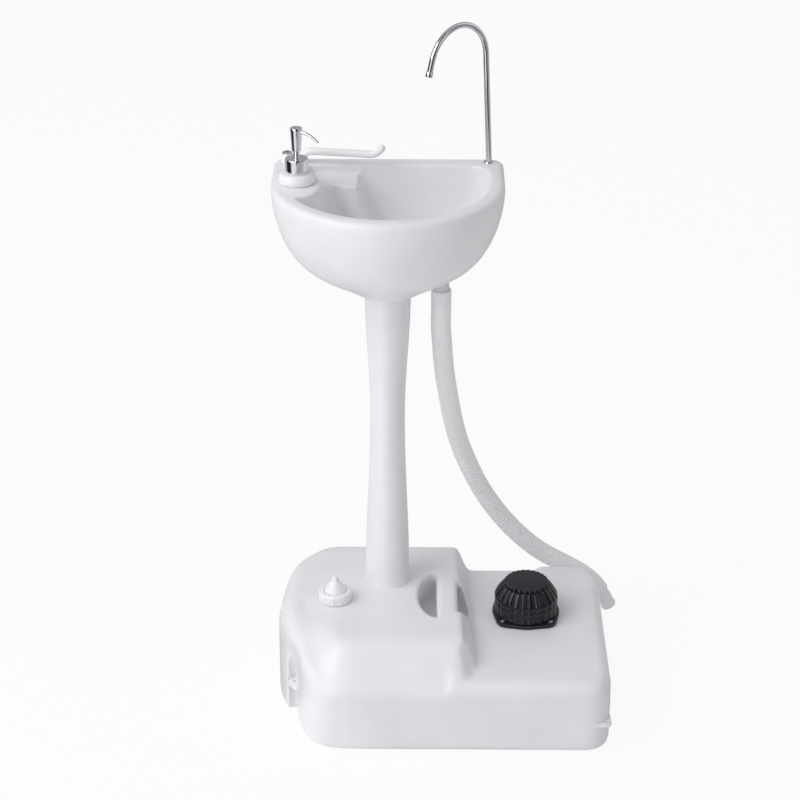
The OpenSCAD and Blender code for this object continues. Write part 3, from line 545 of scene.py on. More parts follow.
# the groove at the left front: its plan at the foot and at the top, and which way each corner grows
grooveSet = {
    "plan": [(-147, -137), (-144, -125), (-131, -126), (-133, -156), (-152, -178), (-172, -152)],
    "top": [(-151, -140), (-150, -143), (-139, -157), (-138, -161), (-152, -178), (-172, -152)],
    "grow": [(-0.6, 2.7), (-1, 1), (1, 1), (1, -0.4), (0, 0), (-2, 3)],
    "topZ": highDeck - 14, "shoulderZ": 76, "footZ": -5,
}


def roundedTop(top, angles):
    # points over the top edge, each as a distance in from the side and a height
    edge = tankSet["edge"]
    return [(edge * (1 - cosDeg(a)), top - edge + edge * sinDeg(a)) for a in angles]


bandZ = tankSet["bandZ"]
slope = tankSet["slope"]
frontHigh = [(0, bandZ), (2, bandZ + 5), (6, bandZ + 10), (slope - 21, highDeck - 13),
             (slope - 11, highDeck - 4), (slope + 2, highDeck)]
frontLow = roundedTop(lowDeck, (0, 30, 60, 90)) + [(tankSet["edge"] + 20, lowDeck), (slope, lowDeck)]
footRound = [(tankSet["foot"] * (1 - sinDeg(a)), tankSet["foot"] * (1 - cosDeg(a))) for a in (0, 45, 90)]


def tankEdge(x, inset, leftEnd, depth):
    # how deep the plan is at x: a curve at the left end, a quarter round at the right one; neither
    # end closes to a line, so that its cap keeps an area
    nearly = 0.999
    radius = max(tankSet["corner"] - inset, 3)
    endLong, endDeep, curve = leftEnd
    fromLeft = -tankSet["left"] + endLong - x
    fromRight = x - (tankSet["right"] - inset - radius)
    if fromLeft > 0:
        share = min(nearly, fromLeft / (endLong - inset))
        return depth - endDeep + (endDeep - inset) * smoothTable(curve, share)
    if fromRight > 0:
        return depth - inset - radius + radius * math.sqrt(1 - min(nearly, fromRight / radius) ** 2)
    return depth - inset


def fallen(radius, along):
    # how far a round edge has fallen, this far in from its end
    return radius - math.sqrt(max(0, radius * radius - (radius - along) ** 2)) if along < radius else 0


def tankSection(x, inset):
    # the section at x, moved in all round
    top = mix(highDeck, lowDeck, crisp((x - tankSet["step"]) / tankSet["stepRun"]))
    backTop = top + tankSet["hump"] * ease((x - tankSet["humpX"]) / tankSet["humpRun"])
    fromEnd = min(x + tankSet["left"], tankSet["right"] - x) - inset
    drop = inset + fallen((tankSet["endEdge"] if x < 0 else tankSet["edge"]) - inset, fromEnd)
    rise = inset + fallen(max(tankSet["foot"] - inset, 2), fromEnd)
    scale = (top - drop - rise) / top
    atEnd = ease((-tankSet["left"] + tankSet["endFrom"] - x) / tankSet["endRun"])
    front = []
    for high, low in zip(frontHigh, frontLow):
        # the step runs askew, and it is shorter towards the foot of the slope
        past = x - tankSet["step"] - tankSet["stepSkew"] + tankSet["stepLean"] * (slope - high[0])
        stepShare = crisp(past / mix(tankSet["stepFootRun"], tankSet["stepRun"], high[0] / slope))
        ended = (low[0], low[1] + highDeck - lowDeck)
        front.append([mix(mix(a, b, atEnd), c, stepShare) for a, b, c in zip(high, ended, low)])
    back = [(slope, top), (tankSet["humpIn"], backTop)] + roundedTop(backTop, (90, 60, 30, 0))
    ring = [(-tankEdge(x, p[0] + inset, tankSet["leftFront"], tankSet["front"]), rise + p[1] * scale)
            for p in footRound + front]
    ring += [(tankEdge(x, p[0] + inset, tankSet["leftBack"], tankSet["back"]), rise + p[1] * scale)
             for p in back + footRound[::-1]]
    return ring


def cutCorners(ring, most):
    # each corner becomes two, so that a section with corners turns soft
    out = []
    for i, corner in enumerate(ring):
        for other in (ring[i - 1], ring[(i + 1) % len(ring)]):
            length = math.dist(corner, other)
            share = 0.0 if length < 1e-6 else min(0.25, most / length)
            out.append(tuple(mix(p, q, share) for p, q in zip(corner, other)))
    return out


def tankLoft(name, inset, stations, soft):
    rings = []
    for x in reversed(stations):
        ring = tankSection(x, inset)
        if soft:
            ring = cutCorners(ring, tankSet["cornerCut"])
        rings.append([(x, p[0], p[1]) for p in ring])
    return loftPiece(name, rings)


def pocketPiece(grow, floor):
    outline = []
    for angle in range(0, 360, 6):
        reach = pocketSet["right"] if cosDeg(angle) > 0 else pocketSet["left"]
        outline.append((pocketSet["at"][0] + (reach + grow) * cosDeg(angle),
                        pocketSet["at"][1] + (pocketSet["long"] + grow) * sinDeg(angle)))
    return prism("pocket", outline, floor, pocketSet["top"])


def groovePiece(grow):
    rings = []
    for plan, z in (("top", grooveSet["topZ"] + grow), ("plan", grooveSet["shoulderZ"] + grow),
                    ("plan", grooveSet["footZ"])):
        rings.append([(p[0] + grow * way[0], p[1] + grow * way[1], z)
                      for p, way in zip(grooveSet[plan], grooveSet["grow"])])
    return loftPiece("groove", rings)


# stations lie closer together towards the ends, where the section changes fast
leftStations = graded(-tankSet["left"], tankSet["evenFrom"], tankSet["leftSteps"], 2)
evenStations = graded(tankSet["evenFrom"], tankSet["evenTo"], tankSet["evenSteps"], 1)[1:-1]
rightStations = graded(tankSet["right"], tankSet["evenTo"], tankSet["rightSteps"], 2)[::-1]
tankBody = tankLoft("tankBody", 0, leftStations + evenStations + rightStations, True)

# the left shoulder is relaxed before anything is cut into it
softSkin(tankBody, tankSet["voxel"], 0)
shoulder = tankBody.vertex_groups.new(name="shoulder")
for v in tankBody.data.vertices:
    past = [c / mm - start for c, start in zip(v.co, tankSet["shoulder"])]
    runs = tankSet["shoulderRun"]
    weight = ease(-past[0] / runs[0]) * ease(-past[1] / runs[1]) * ease(past[2] / runs[2])
    if weight > 0:
        shoulder.add([v.index], weight, "REPLACE")
modify(tankBody, "SMOOTH", factor=0.5, iterations=tankSet["shoulderPasses"], vertex_group="shoulder")
combine(tankBody, pocketPiece(0, pocketSet["floor"]))
combine(tankBody, groovePiece(0))
combine(tankBody, post(*tankSet["backNotch"]))

# the carrying bar runs over the pocket
gripX = pocketSet["at"][0] + gripSet["shift"]
gripRound = gripSet["corner"]
gripSides = (gripX + gripSet["width"] - gripRound, gripX + gripRound)
gripTop = highDeck - gripRound
gripLow = highDeck - gripSet["height"] + gripRound
gripRing = (arcPoints((gripSides[0], gripTop), gripRound, 0, 90, 6)
            + arcPoints((gripSides[1], gripTop), gripRound, 90, 180, 6)
            + arcPoints((gripSides[1], gripLow), gripRound, 180, 270, 6)
            + arcPoints((gripSides[0], gripLow), gripRound, 270, 360, 6))
gripReach = pocketSet["long"] + gripSet["end"]
gripBar = loftPiece("grip", [[(p[0], pocketSet["at"][1] + way, p[1]) for p in gripRing]
                             for way in (gripReach, -gripReach)])
combine(tankBody, gripBar, "UNION")
softSkin(tankBody, tankSet["voxel"], tankSet["passes"])
print("tank skin", len(tankBody.data.polygons), "faces")

# the hollow keeps a wall round every pocket and socket, and the crisp holes come last
hollow = tankLoft("hollow", tankSet["hollowInset"], tankSet["hollowStations"], False)
combine(hollow, pocketPiece(pocketSet["wall"], pocketSet["floor"] - pocketSet["floorWall"]))
combine(hollow, groovePiece(tankSet["hollowInset"]))
for shape in tankSet["hollowPosts"]:
    combine(hollow, post(*shape))
combine(tankBody, hollow)
for hole in tankSet["holes"]:
    combine(tankBody, post(*hole))
finishPiece(tankBody, blownHdpe, "stand", "tank", angle=60)
finishPiece(refinedCopy("left_lug", "leftLug", 1.2, 3), blownHdpe, "stand", "left_lug")
finishPiece(refinedCopy("right_lug", "rightLug", 1.2, 3), blownHdpe, "stand", "right_lug")
print("tank done", len(tankBody.data.polygons), "faces")


# the column is blow moulded too: waisted, with a plug below and a spigot above
columnSet = {
    "end": 33.4, "waist": 25.5, "waistZ": 440, "wall": 2.6,
    "plug": 33, "plugLong": 28, "flange": 35, "flangeHigh": 4,
    "spigot": 29.5, "spigotIn": 25.9, "spigotLong": 30,
    "steps": 40,
}


def columnRadius(z):
    waistZ = columnSet["waistZ"]
    share = (waistZ - z) / (waistZ - highDeck) if z < waistZ else (z - waistZ) / (neckZ - waistZ)
    return mix(columnSet["waist"], columnSet["end"], (1 - math.cos(math.pi * share)) / 2)


plugLow = highDeck - columnSet["plugLong"]
plug = columnSet["plug"]
flange = columnSet["flange"]
spigot = columnSet["spigot"]
spigotTop = neckZ + columnSet["spigotLong"]
columnStart = highDeck + columnSet["flangeHigh"]
columnHeights = [mix(columnStart, neckZ, k / columnSet["steps"]) for k in range(columnSet["steps"] + 1)]
columnProfile = [(plug - columnSet["wall"], plugLow), (plug, plugLow), (plug, highDeck)]
columnProfile += raised([(flange, 0), (flange, 2.2), (flange - 0.5, 3.2), (flange - 1.3, 4)], highDeck)
columnProfile += [(columnRadius(z), z) for z in columnHeights[1:]]
columnProfile += [(spigot, neckZ), (spigot, spigotTop - 2), (spigot - 2, spigotTop),
                  (columnSet["spigotIn"], spigotTop), (columnSet["spigotIn"], neckZ)]
columnProfile += [(columnRadius(z) - columnSet["wall"], z) for z in columnHeights[::-1]]
columnTube = turned("columnTube", columnAt, columnProfile, segments=128, closed=True)
finishPiece(columnTube, blownHdpe, "stand", "column")
print("column done")


# the basin is a double-walled moulding: a D-shaped skin, with the bowl and the soap tray sunk into it
basinHalf = 167.5
basinSet = {
    "deep": 162.5, "back": 116, "bow": 18, "wall": 4,
    # outside: depth under the rim, share of the half width, how far in the back is, and corner radius
    "rows": [(0, 1 - 8 / basinHalf, 5, 13), (2.4, 1 - 2.4 / basinHalf, 1.5, 16), (8, 1, 0, 17),
             (32, 0.987, 0, 20), (56, 0.955, 1, 28), (78, 0.905, 5, 40), (97, 0.84, 13, 52),
             (113, 0.752, 22, 62), (126, 0.64, 35, 66), (137, 0.52, 48, 62), (146, 0.42, 60, 52),
             (153, 0.345, 69, 44), (158.5, 0.29, 76, 38)],
    "lip": 8,  # the rim's rounding is this deep
    "neck": 34.6, "neckCorner": 34.1,
    "bowl": 105, "bowlRadius": 145.5, "bowlBack": 85, "bowlCorner": 30, "trayCorner": 8,
    # the bowl's depth as a share, and how far its wall has closed in on its floor there
    "bowlSteps": [(0.04, 0.005), (0.24, 0.035), (0.5, 0.11), (0.7, 0.25), (0.83, 0.43), (0.92, 0.64),
                  (0.97, 0.84), (1, 1)],
    "bowlFloor": (58, 17), "bowlFloorHalf": (54, 50), "bowlEye": (30, -30),
    "tray": 13,
    "voxel": 2.1,
    "passes": 3,
    "hollowRows": (153, 146, 137, 126, 113, 97, 78, 56, 32, 8),
    # upright round shapes: place, radius, low, high, sides
    "hollowPosts": [(columnAt, 33.5, 635, 669, 32), (drainAt, 20, 635, 700, 32),
                    (tapAt, 9, 791, 802, 24), (railAt, 9, 791, 802, 24)],
    "drainBoss": (drainAt, 20, 650, 691.5, 96),
    # the column's spigot, the drain, the tap, the rail's pin and the soap pump
    "holes": [(columnAt, 29.8, 634, 673, 96), (drainAt, 9.8, 649, 698, 48), (tapAt, 6.3, 777, 807, 48),
              (railAt, 4.3, 777, 807, 48), (soapAt, 21.3, 785, 815, 96)],
}


def basinRing(depth, inset, fine):
    share = smoothTable([(row[0], row[1]) for row in basinSet["rows"]], depth)
    back = smoothTable([(row[0], basinSet["back"] - row[2]) for row in basinSet["rows"]], depth)
    corner = smoothTable([(row[0], row[3]) for row in basinSet["rows"]], depth)
    half = basinHalf * share - inset
    middle = basinSet["bow"] * (1 - (depth / basinSet["deep"]) ** 3)
    back -= inset
    radius = min(corner - inset, half - 0.5, back - middle - 0.5)
    z = rimZ - (max(depth, inset) if depth < basinSet["lip"] else depth)
    outline = (arcPoints((0, middle), half, 180, 360, 20 * fine)
               + arcPoints((half - radius, back - radius), radius, 0, 90, 5 * fine)
               + arcPoints((-half + radius, back - radius), radius, 90, 180, 5 * fine))
    return [(p[0], p[1], z) for p in outline]


neckShift = basinSet["neck"] - basinSet["neckCorner"]
neckOutline = (arcPoints((0, 0), basinSet["neck"], 180, 360, 80)
               + arcPoints((neckShift, neckShift), basinSet["neckCorner"], 0, 90, 20)
               + arcPoints((-neckShift, neckShift), basinSet["neckCorner"], 90, 180, 20))
depths = {*graded(basinSet["rows"][-1][0], 0, 70, 1.25), 4.6, 2.4, 1.0, 0.3}
basinShell = loftPiece("basinShell", [[(p[0], p[1], neckZ) for p in neckOutline]]
                       + [basinRing(depth, 0, 4) for depth in sorted(depths, reverse=True)])


def bowlOutline(grow):
    radius = basinSet["bowlRadius"]
    back = basinSet["bowlBack"]
    corner = basinSet["bowlCorner"]
    inner = basinSet["trayCorner"]
    # seen from above: the front arc, the right back corner, the straight back and the edge of the tray
    return (arcPoints((0, basinSet["bow"]), radius + grow, 206.5, 356, 48)
            + [(radius + grow, basinSet["bow"] + 12)]
            + arcPoints((radius - corner, back - corner), corner + grow, 0, 90, 12)
            + [(x, back + grow) for x in range(85, -12, -24)]
            + arcPoints((-37, back - inner), inner + grow, 90, 180, 4)
            + [(-45 - grow, 50), (-46 - grow, 30 + grow), (-56, 30 + grow), (-66, 32 + grow),
               (-76, 38 + grow), (-83, 40 + grow), (-90 - grow, 34 + grow), (-94 - grow, 22),
               (-95 - grow, 4), (-98 - grow, -14), (-106 - grow, -32 + grow), (-118 - grow, -42 + grow)])


def bowlRing(share, pull, grow):
    # each point of the outline is pulled towards the floor's oval
    eye = basinSet["bowlEye"]
    floor = basinSet["bowlFloor"]
    floorHalf = basinSet["bowlFloorHalf"]
    ring = []
    for p in bowlOutline(grow):
        a = math.atan2(p[1] - eye[1], p[0] - eye[0])
        goal = (floor[0] + (floorHalf[0] + grow) * math.cos(a),
                floor[1] + (floorHalf[1] + grow) * math.sin(a))
        z = rimZ - basinSet["bowl"] + (1 - share) * basinSet["bowl"] - (grow if share >= 1 else 0)
        ring.append((mix(p[0], goal[0], pull), mix(p[1], goal[1], pull), z))
    return ring


def bowlPiece(grow, shares):
    steps = basinSet["bowlSteps"]
    rings = [bowlRing(share, smoothTable(steps, share), grow)
             for share in sorted(shares, reverse=True)]
    return loftPiece("bowl", rings + [bowlRing(-0.02, 0, grow), bowlRing(-0.1, 0, grow)])


def trayPiece(grow):
    back = basinSet["bowlBack"]
    outline = [(-40, 28 - grow), (-40, back + grow), (-112 - grow, back + grow), (-117 - grow, back - 6),
               (-117 - grow, 62), (-104 - grow, 46 - grow), (-97 - grow, 20 - grow), (-90, 12 - grow)]
    return prism("tray", outline, rimZ - basinSet["tray"] - grow, rimZ + 6)


combine(basinShell, bowlPiece(0, graded(1, 0.04, 30, 1.6)))
combine(basinShell, trayPiece(0))
softSkin(basinShell, basinSet["voxel"], basinSet["passes"])
print("basin skin", len(basinShell.data.polygons), "faces")
void = loftPiece("void", [basinRing(depth, basinSet["wall"], 1) for depth in basinSet["hollowRows"]])
combine(void, bowlPiece(basinSet["wall"], [step[0] for step in basinSet["bowlSteps"]]))
combine(void, trayPiece(basinSet["wall"]))
for shape in basinSet["hollowPosts"]:
    combine(void, post(*shape))
combine(basinShell, void)
combine(basinShell, post(*basinSet["drainBoss"]), "UNION")
for hole in basinSet["holes"]:
    combine(basinShell, post(*hole))
finishPiece(basinShell, blownHdpe, "stand", "basin", angle=60)
print("basin done", len(basinShell.data.polygons), "faces")


# the filler cap: a finger ring that clamps a cone with a vent hole; radius and height of the cone
capCone = [(19, 167), (19, 169), (16.5, 169), (16.4, 172), (15.9, 173.6), (15, 175), (13.2, 177.8),
           (10, 183), (8.2, 185.2), (6, 187.5), (5.3, 190), (5, 192), (4.6, 195), (4.1, 195.8),
           (3.4, 196), (1, 196), (1, 191), (3.4, 187.5), (8, 181.5), (12.5, 173.5), (13.5, 167)]
finishPiece(refinedCopy("cap_ring", "capRing", 0.5), mouldedPp, "filler_ring", "cap_ring")
capInsert = turned("capInsert", capAt, capCone, segments=72, closed=True, bevel=0.15)
finishPiece(capInsert, mouldedPp, "filler_cap", "cap_insert")
print("cap done")


# the tap: a tube bent to a swan neck, which turns in its shank
tapSet = {
    "radius": 4.25, "bend": 56, "rise": 154, "turn": 45, "lean": 3.7, "arc": 160, "tip": 22,
    "straight": 14,
    "collar": 5.05,  # a narrow ring on the tube, just over the shank
    # aerator: a plain sleeve with a fine step; distance from the tip, and radius
    "sleeve": [(-8, 4.3), (-7.6, 5.0), (-7.2, 5.25), (-2.2, 5.25), (-2.0, 5.0), (-1.6, 5.0), (-1.4, 5.25),
               (-0.3, 5.25), (0, 5.0), (0, 4.0), (-1.5, 3.9)],
    # shank with its conical foot: radius, and height over the rim
    "shank": [(4.31, -25), (4.31, 2.5), (6.6, 2.5), (7.1, 2.1), (7.6, 0.7), (7.6, 0), (6, 0), (6, -44),
              (2.5, -44), (2.5, -25)],
}
tapWay = (-cosDeg(tapSet["turn"]), -sinDeg(tapSet["turn"]))
tapLow = rimZ + tapSet["straight"]
bendZ = tapLow + tapSet["rise"] * cosDeg(tapSet["lean"])
bendOut = tapSet["rise"] * sinDeg(tapSet["lean"])


def tapPoint(out, z):
    return Vector((tapAt[0] + tapWay[0] * out, tapAt[1] + tapWay[1] * out, z))


def bendPoint(angle):
    lean = tapSet["lean"]
    return tapPoint(bendOut + tapSet["bend"] * (cosDeg(lean) - cosDeg(lean + angle)),
                    bendZ + tapSet["bend"] * (sinDeg(lean + angle) - sinDeg(lean)))


def tipPoint(along):
    full = tapSet["lean"] + tapSet["arc"]
    way = Vector((tapWay[0] * sinDeg(full), tapWay[1] * sinDeg(full), cosDeg(full)))
    return bendPoint(tapSet["arc"]) + way * along


tapPath = [tapPoint(0, rimZ + high) for high in (-24, 0, 2.7, 3.1, 4.3, 4.7, tapSet["straight"])]
tapRadii = [tapSet["radius"]] * 3 + [tapSet["collar"]] * 2
for share in (0.1, 0.3, 0.6, 1.0):
    tapPath.append(tapPoint(bendOut * share, mix(tapLow, bendZ, share)))
tapPath += [bendPoint(angle) for angle in range(4, tapSet["arc"] + 1, 4)]
tapPath.append(tipPoint(tapSet["tip"] + tapSet["sleeve"][0][0]))
tapRadii += [tapSet["radius"]] * (len(tapPath) - len(tapRadii))
tapTube = tube("tapTube", tapPath, tapRadii, sides=40)
finishPiece(tapTube, chromePlate, "tap", "tap_tube", angle=50)
# rings at one height are set a hair apart, so that each keeps its direction
sleevePath = [tipPoint(tapSet["tip"] + row[0] + 0.001 * i) for i, row in enumerate(tapSet["sleeve"][:-1])]
sleevePath.append(tipPoint(tapSet["tip"] + tapSet["sleeve"][-1][0]))
tapNozzle = tube("tapNozzle", sleevePath, [row[1] for row in tapSet["sleeve"]], sides=40)
finishPiece(tapNozzle, chromePlate, "tap", "tap_nozzle", angle=35)
tapShank = turned("tapShank", tapAt, raised(tapSet["shank"], rimZ), segments=48, closed=True, bevel=0.12)
finishPiece(tapShank, chromePlate, "stand", "tap_shank", angle=35)
print("tap done")


# the soap pump: a white bush, a plated collar and a plated head with a curved spout
soapSet = {
    "bush": 15.5, "head": 35, "top": 82,
    # each profile: radius, and height over the rim, over the bush and over the foot of the head
    "bushOutside": [(21.3, 0), (24.2, 0), (25.2, 0.8), (26.3, 3), (26.8, 5), (27, 7)],
    "bushRound": (20, 7, 8.5),  # the shoulder's centre, its width and its height
    "bushInside": [(13.3, 15.5), (13.3, 5.6), (19.4, 2.6)],
    "collarProfile": [(13.1, 0), (15.6, 0), (15.9, 0.4), (16.1, 4), (16.45, 18.8), (16.4, 20),
                      (15.9, 20.7), (15, 21), (4.26, 21), (4.26, 18), (13.1, 18)],
    "headProfile": [(4.26, 11), (4.26, 0), (5.6, 0), (6.3, 0.5), (6.6, 1.6), (8.2, 28), (8.55, 31),
                    (8.8, 32.4), (8.7, 33.8), (8.1, 34.7), (7.2, 35), (0.4, 35)],
    # the spout's middle line from the head's top
    "spout": [(0, 0, -5), (12, -5.5, -6.5), (20, -9, -9.5), (26, -12, -13), (31.5, -14.5, -18)],
    "spoutRadii": (2.6, 1.8),
    "platedFrom": 10,  # the stem's sleeve is plated from this height over the rim
}
bushTop = rimZ + soapSet["bush"]
headTop = rimZ + soapSet["top"]
centre, wide, high = soapSet["bushRound"]
bushProfile = raised(soapSet["bushOutside"], rimZ)
bushProfile += [(centre + wide * cosDeg(a), bushTop - high + high * sinDeg(a)) for a in range(10, 91, 10)]
bushProfile += raised(soapSet["bushInside"], rimZ)
soapBush = turned("soapBush", soapAt, bushProfile, closed=True)
finishPiece(soapBush, mouldedPp, "stand", "soap_bush")
soapCollar = turned("soapCollar", soapAt, raised(soapSet["collarProfile"], bushTop), closed=True)
finishPiece(soapCollar, chromePlate, "stand", "soap_collar", angle=30)
soapHead = turned("soapHead", soapAt, raised(soapSet["headProfile"], headTop - soapSet["head"]), segments=64)
spoutPath = smoothPath([(soapAt[0] + p[0], soapAt[1] + p[1], headTop + p[2]) for p in soapSet["spout"]], 8)
spoutRadii = [mix(*soapSet["spoutRadii"], i / (len(spoutPath) - 1)) for i in range(len(spoutPath))]
combine(soapHead, tube("spout", spoutPath, spoutRadii, sides=28), "UNION")
finishPiece(soapHead, chromePlate, "soap_spout", "soap_head", angle=35)
soapStem = refinedCopy("soap_stem", "soapStem", 0.15)
finishPiece(soapStem, mouldedPp, "soap_piston", "soap_stem")
soapStem.data.materials.append(chromePlate)
for face in soapStem.data.polygons:
    if face.center.z > (rimZ + soapSet["platedFrom"]) * mm:
        face.material_index = 1
print("soap pump done")


# the towel rail: a moulded rod on a hub, which swings round a screwed pin
railSet = {
    "angle": -8, "radius": 5.5,
    # profiles: radius, and height over the rim
    "hub": [(4.06, 0.2), (8.9, 0.2), (9.5, 0.8), (9.5, 12.4), (9, 13.6), (8, 14.2), (4.06, 14.2)],
    "pin": [(4, -16), (4, 14.4), (6.6, 14.4), (7, 14.8), (6.8, 15.6), (6.1, 16.2), (4.6, 16.6)],
    # the rod's middle line: distance from the pin, and height over the rim
    "rod": [(6.5, 8), (15, 8.7), (22, 12.5), (30, 17), (39, 19), (78, 19), (117, 19), (126, 19.5),
            (133, 23), (139, 29)],
    "slot": (1.1, 5.2, 1.2),  # width, length and depth of the screwdriver's recess
}


def crossCut(at, top, wide, long, deep):
    # a screwdriver's cross recess: two slots
    slots = []
    for x, y in ((long / 2, wide / 2), (wide / 2, long / 2)):
        outline = [(at[0] + x * i, at[1] + y * k) for i, k in ((-1, -1), (1, -1), (1, 1), (-1, 1))]
        slots.append(prism("slot", outline, top - deep, top + 2))
    combine(slots[0], slots[1], "UNION")
    return slots[0]


towelRail = turned("towelRail", railAt, raised(railSet["hub"], rimZ), segments=72, closed=True, bevel=0.2)
railWay = (cosDeg(railSet["angle"]), sinDeg(railSet["angle"]))
railPath = smoothPath([(railAt[0] + p[0] * railWay[0], railAt[1] + p[0] * railWay[1], rimZ + p[1])
                       for p in railSet["rod"]], 8)
railRadii = [railSet["radius"]] * len(railPath)
# the tip is a half ball
railEnd = railPath[-1]
tipWay = (railPath[-1] - railPath[-4]).normalized()
for angle in range(15, 91, 15):
    railPath.append(railEnd + tipWay * railSet["radius"] * sinDeg(angle))
    railRadii.append(max(0.3, railSet["radius"] * cosDeg(angle)))
combine(towelRail, tube("rod", railPath, railRadii, sides=36), "UNION")
finishPiece(towelRail, mouldedPp, "rail", "towel_rail", angle=35)
railPivot = turned("railPivot", railAt, raised(railSet["pin"], rimZ), segments=48)
combine(railPivot, crossCut(railAt, rimZ + railSet["pin"][-1][1], *railSet["slot"]))
finishPiece(railPivot, tumbledSteel, "stand", "rail_pivot", angle=30)
print("rail done")


# the foot pump: a fluted bellows between a black base and a toothed tread
pumpSet = {
    "flutes": 24, "around": 288, "fluteShape": 3.0,  # a higher shape makes the flutes narrower
    "seat": 120.5, "travel": 28, "soapTravel": 10,
    # each row: radius, height and depth of the flute
    "bellows": [(43.5, 120.5, 0), (47.6, 120.5, 0.3), (48.3, 121.4, 0.5), (48.4, 122.6, 0.9),
                (47.7, 124, 1.6), (47.7, 130, 2.0), (47.9, 137, 2.0), (48.0, 139.5, 1.9),
                (47.3, 140.4, 1.7), (47.3, 141.2, 1.7), (48.1, 142.2, 1.9), (48.2, 146, 2.1),
                (48.0, 148.6, 2.2), (47.2, 151, 2.3), (45.8, 153.4, 2.4), (43.4, 157, 2.4),
                (40.9, 160.6, 2.4), (38.6, 163.6, 2.2), (36.8, 165.6, 1.8), (35.6, 166.6, 1.0),
                (34.8, 167, 0.4), (31, 166.9, 0), (28, 166.9, 0), (28, 164.6, 0), (31, 164.4, 0),
                (43.5, 150, 0)],
    "tread": [(30.5, 167, 0), (33.8, 167, 2.6), (34, 167.6, 2.7), (34, 169.6, 2.7), (33.6, 170.8, 2.6),
              (32.8, 171.6, 2.0), (31.6, 171.95, 1.0), (30.6, 172.1, 0.1), (29.4, 172.0, 0), (26, 172.5, 0),
              (14, 173.3, 0), (2, 173.6, 0)],
    "guide": [(7, 160), (9, 160), (9, 167.5), (7, 167.5)],
    "screw": [(1.65, -16.5), (1.65, 0), (3.5, 0), (3.6, 0.5), (3.3, 1.4), (2.6, 1.9), (1.6, 2)],
    "slot": (0.7, 3.2, 1.1),
}


def polarPiece(name, rows, closed):
    # rings round the pump's axis, with narrow straight flutes; a closed one is a ring, an open one has ends
    points = []
    n = pumpSet["around"]
    for radius, z, depth in rows:
        for i in range(n):
            a = 2 * math.pi * i / n
            dip = (0.5 + 0.5 * math.cos(pumpSet["flutes"] * a)) ** pumpSet["fluteShape"]
            r = radius - depth * dip
            points.append((pumpAt[0] + r * math.cos(a), pumpAt[1] + r * math.sin(a), z))
    faces = []
    for k in range(len(rows) if closed else len(rows) - 1):
        above = (k + 1) % len(rows)
        for i in range(n):
            j = (i + 1) % n
            faces.append((k * n + i, k * n + j, above * n + j, above * n + i))
    if not closed:
        faces.append(tuple(range(n - 1, -1, -1)))
        faces.append(tuple((len(rows) - 1) * n + i for i in range(n)))
    return meshPiece(name, points, faces)


def squashTo(piece):
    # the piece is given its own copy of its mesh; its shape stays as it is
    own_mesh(piece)


def squashedSpring(node, name):
    spring = nodeCopy(node, name)
    finishPiece(spring, tumbledSteel, "stand", node)
    squashTo(spring)


pumpBellows = polarPiece("pumpBellows", pumpSet["bellows"], True)
finishPiece(pumpBellows, bellowsRubber, "stand", "pump_bellows", angle=50)
squashTo(pumpBellows)
squashedSpring("pump_spring", "pumpSpring")
squashedSpring("soap_spring", "soapSpring")
pumpTread = polarPiece("pumpTread", pumpSet["tread"], False)
combine(pumpTread, turned("guide", pumpAt, pumpSet["guide"], segments=48, closed=True), "UNION")
finishPiece(pumpTread, pittedAbs, "tread", "pump_tread")
finishPiece(refinedCopy("pump_base", "pumpBase", 0.9, 3), pittedAbs, "stand", "pump_base")

screws = []
for at in screwPlaces:
    screw = turned("screw", at, raised(pumpSet["screw"], pumpSet["seat"]), segments=32)
    combine(screw, crossCut(at, pumpSet["seat"] + pumpSet["screw"][-1][1], *pumpSet["slot"]))
    screws.append(screw)
choose(screws[0])
for screw in screws:
    screw.select_set(True)
bpy.ops.object.join()
screws[0].name = "pumpScrews"
finishPiece(screws[0], tumbledSteel, "stand", "pump_screws", angle=30)
print("pump done")


# the drain's own pieces, and the CAD solids that stay as they are and mostly hidden
finishPiece(refinedCopy("drain_strainer", "drainStrainer", 0.4), chromePlate, "stand", "drain_strainer",
            angle=30)
drainNut = refinedCopy("drain_nut", "drainNut", 0.5)
finishPiece(drainNut, mouldedPp, "stand", "drain_nut", angle=35)
keptSet = {
    "filler_neck": mouldedPp, "cap_gasket": nitrileSheet, "drain_gasket": nitrileSheet,
    "tap_washer": nitrileSheet, "tap_nut": turnedBrass, "supply_hose": clearPvc,
    "soap_bottle": mouldedPp, "soap_barrel": mouldedPp, "soap_dip_tube": clearPvc,
    "rail_nut": tumbledSteel, "pump_gasket": nitrileSheet, "suction_tube": clearPvc,
    "suction_strainer": mouldedPp, "outlet_elbow": mouldedPp,
}
for name, material in keptSet.items():
    cadNodes[name].data.materials.clear()
    cadNodes[name].data.materials.append(material)
print("hidden pieces finished")


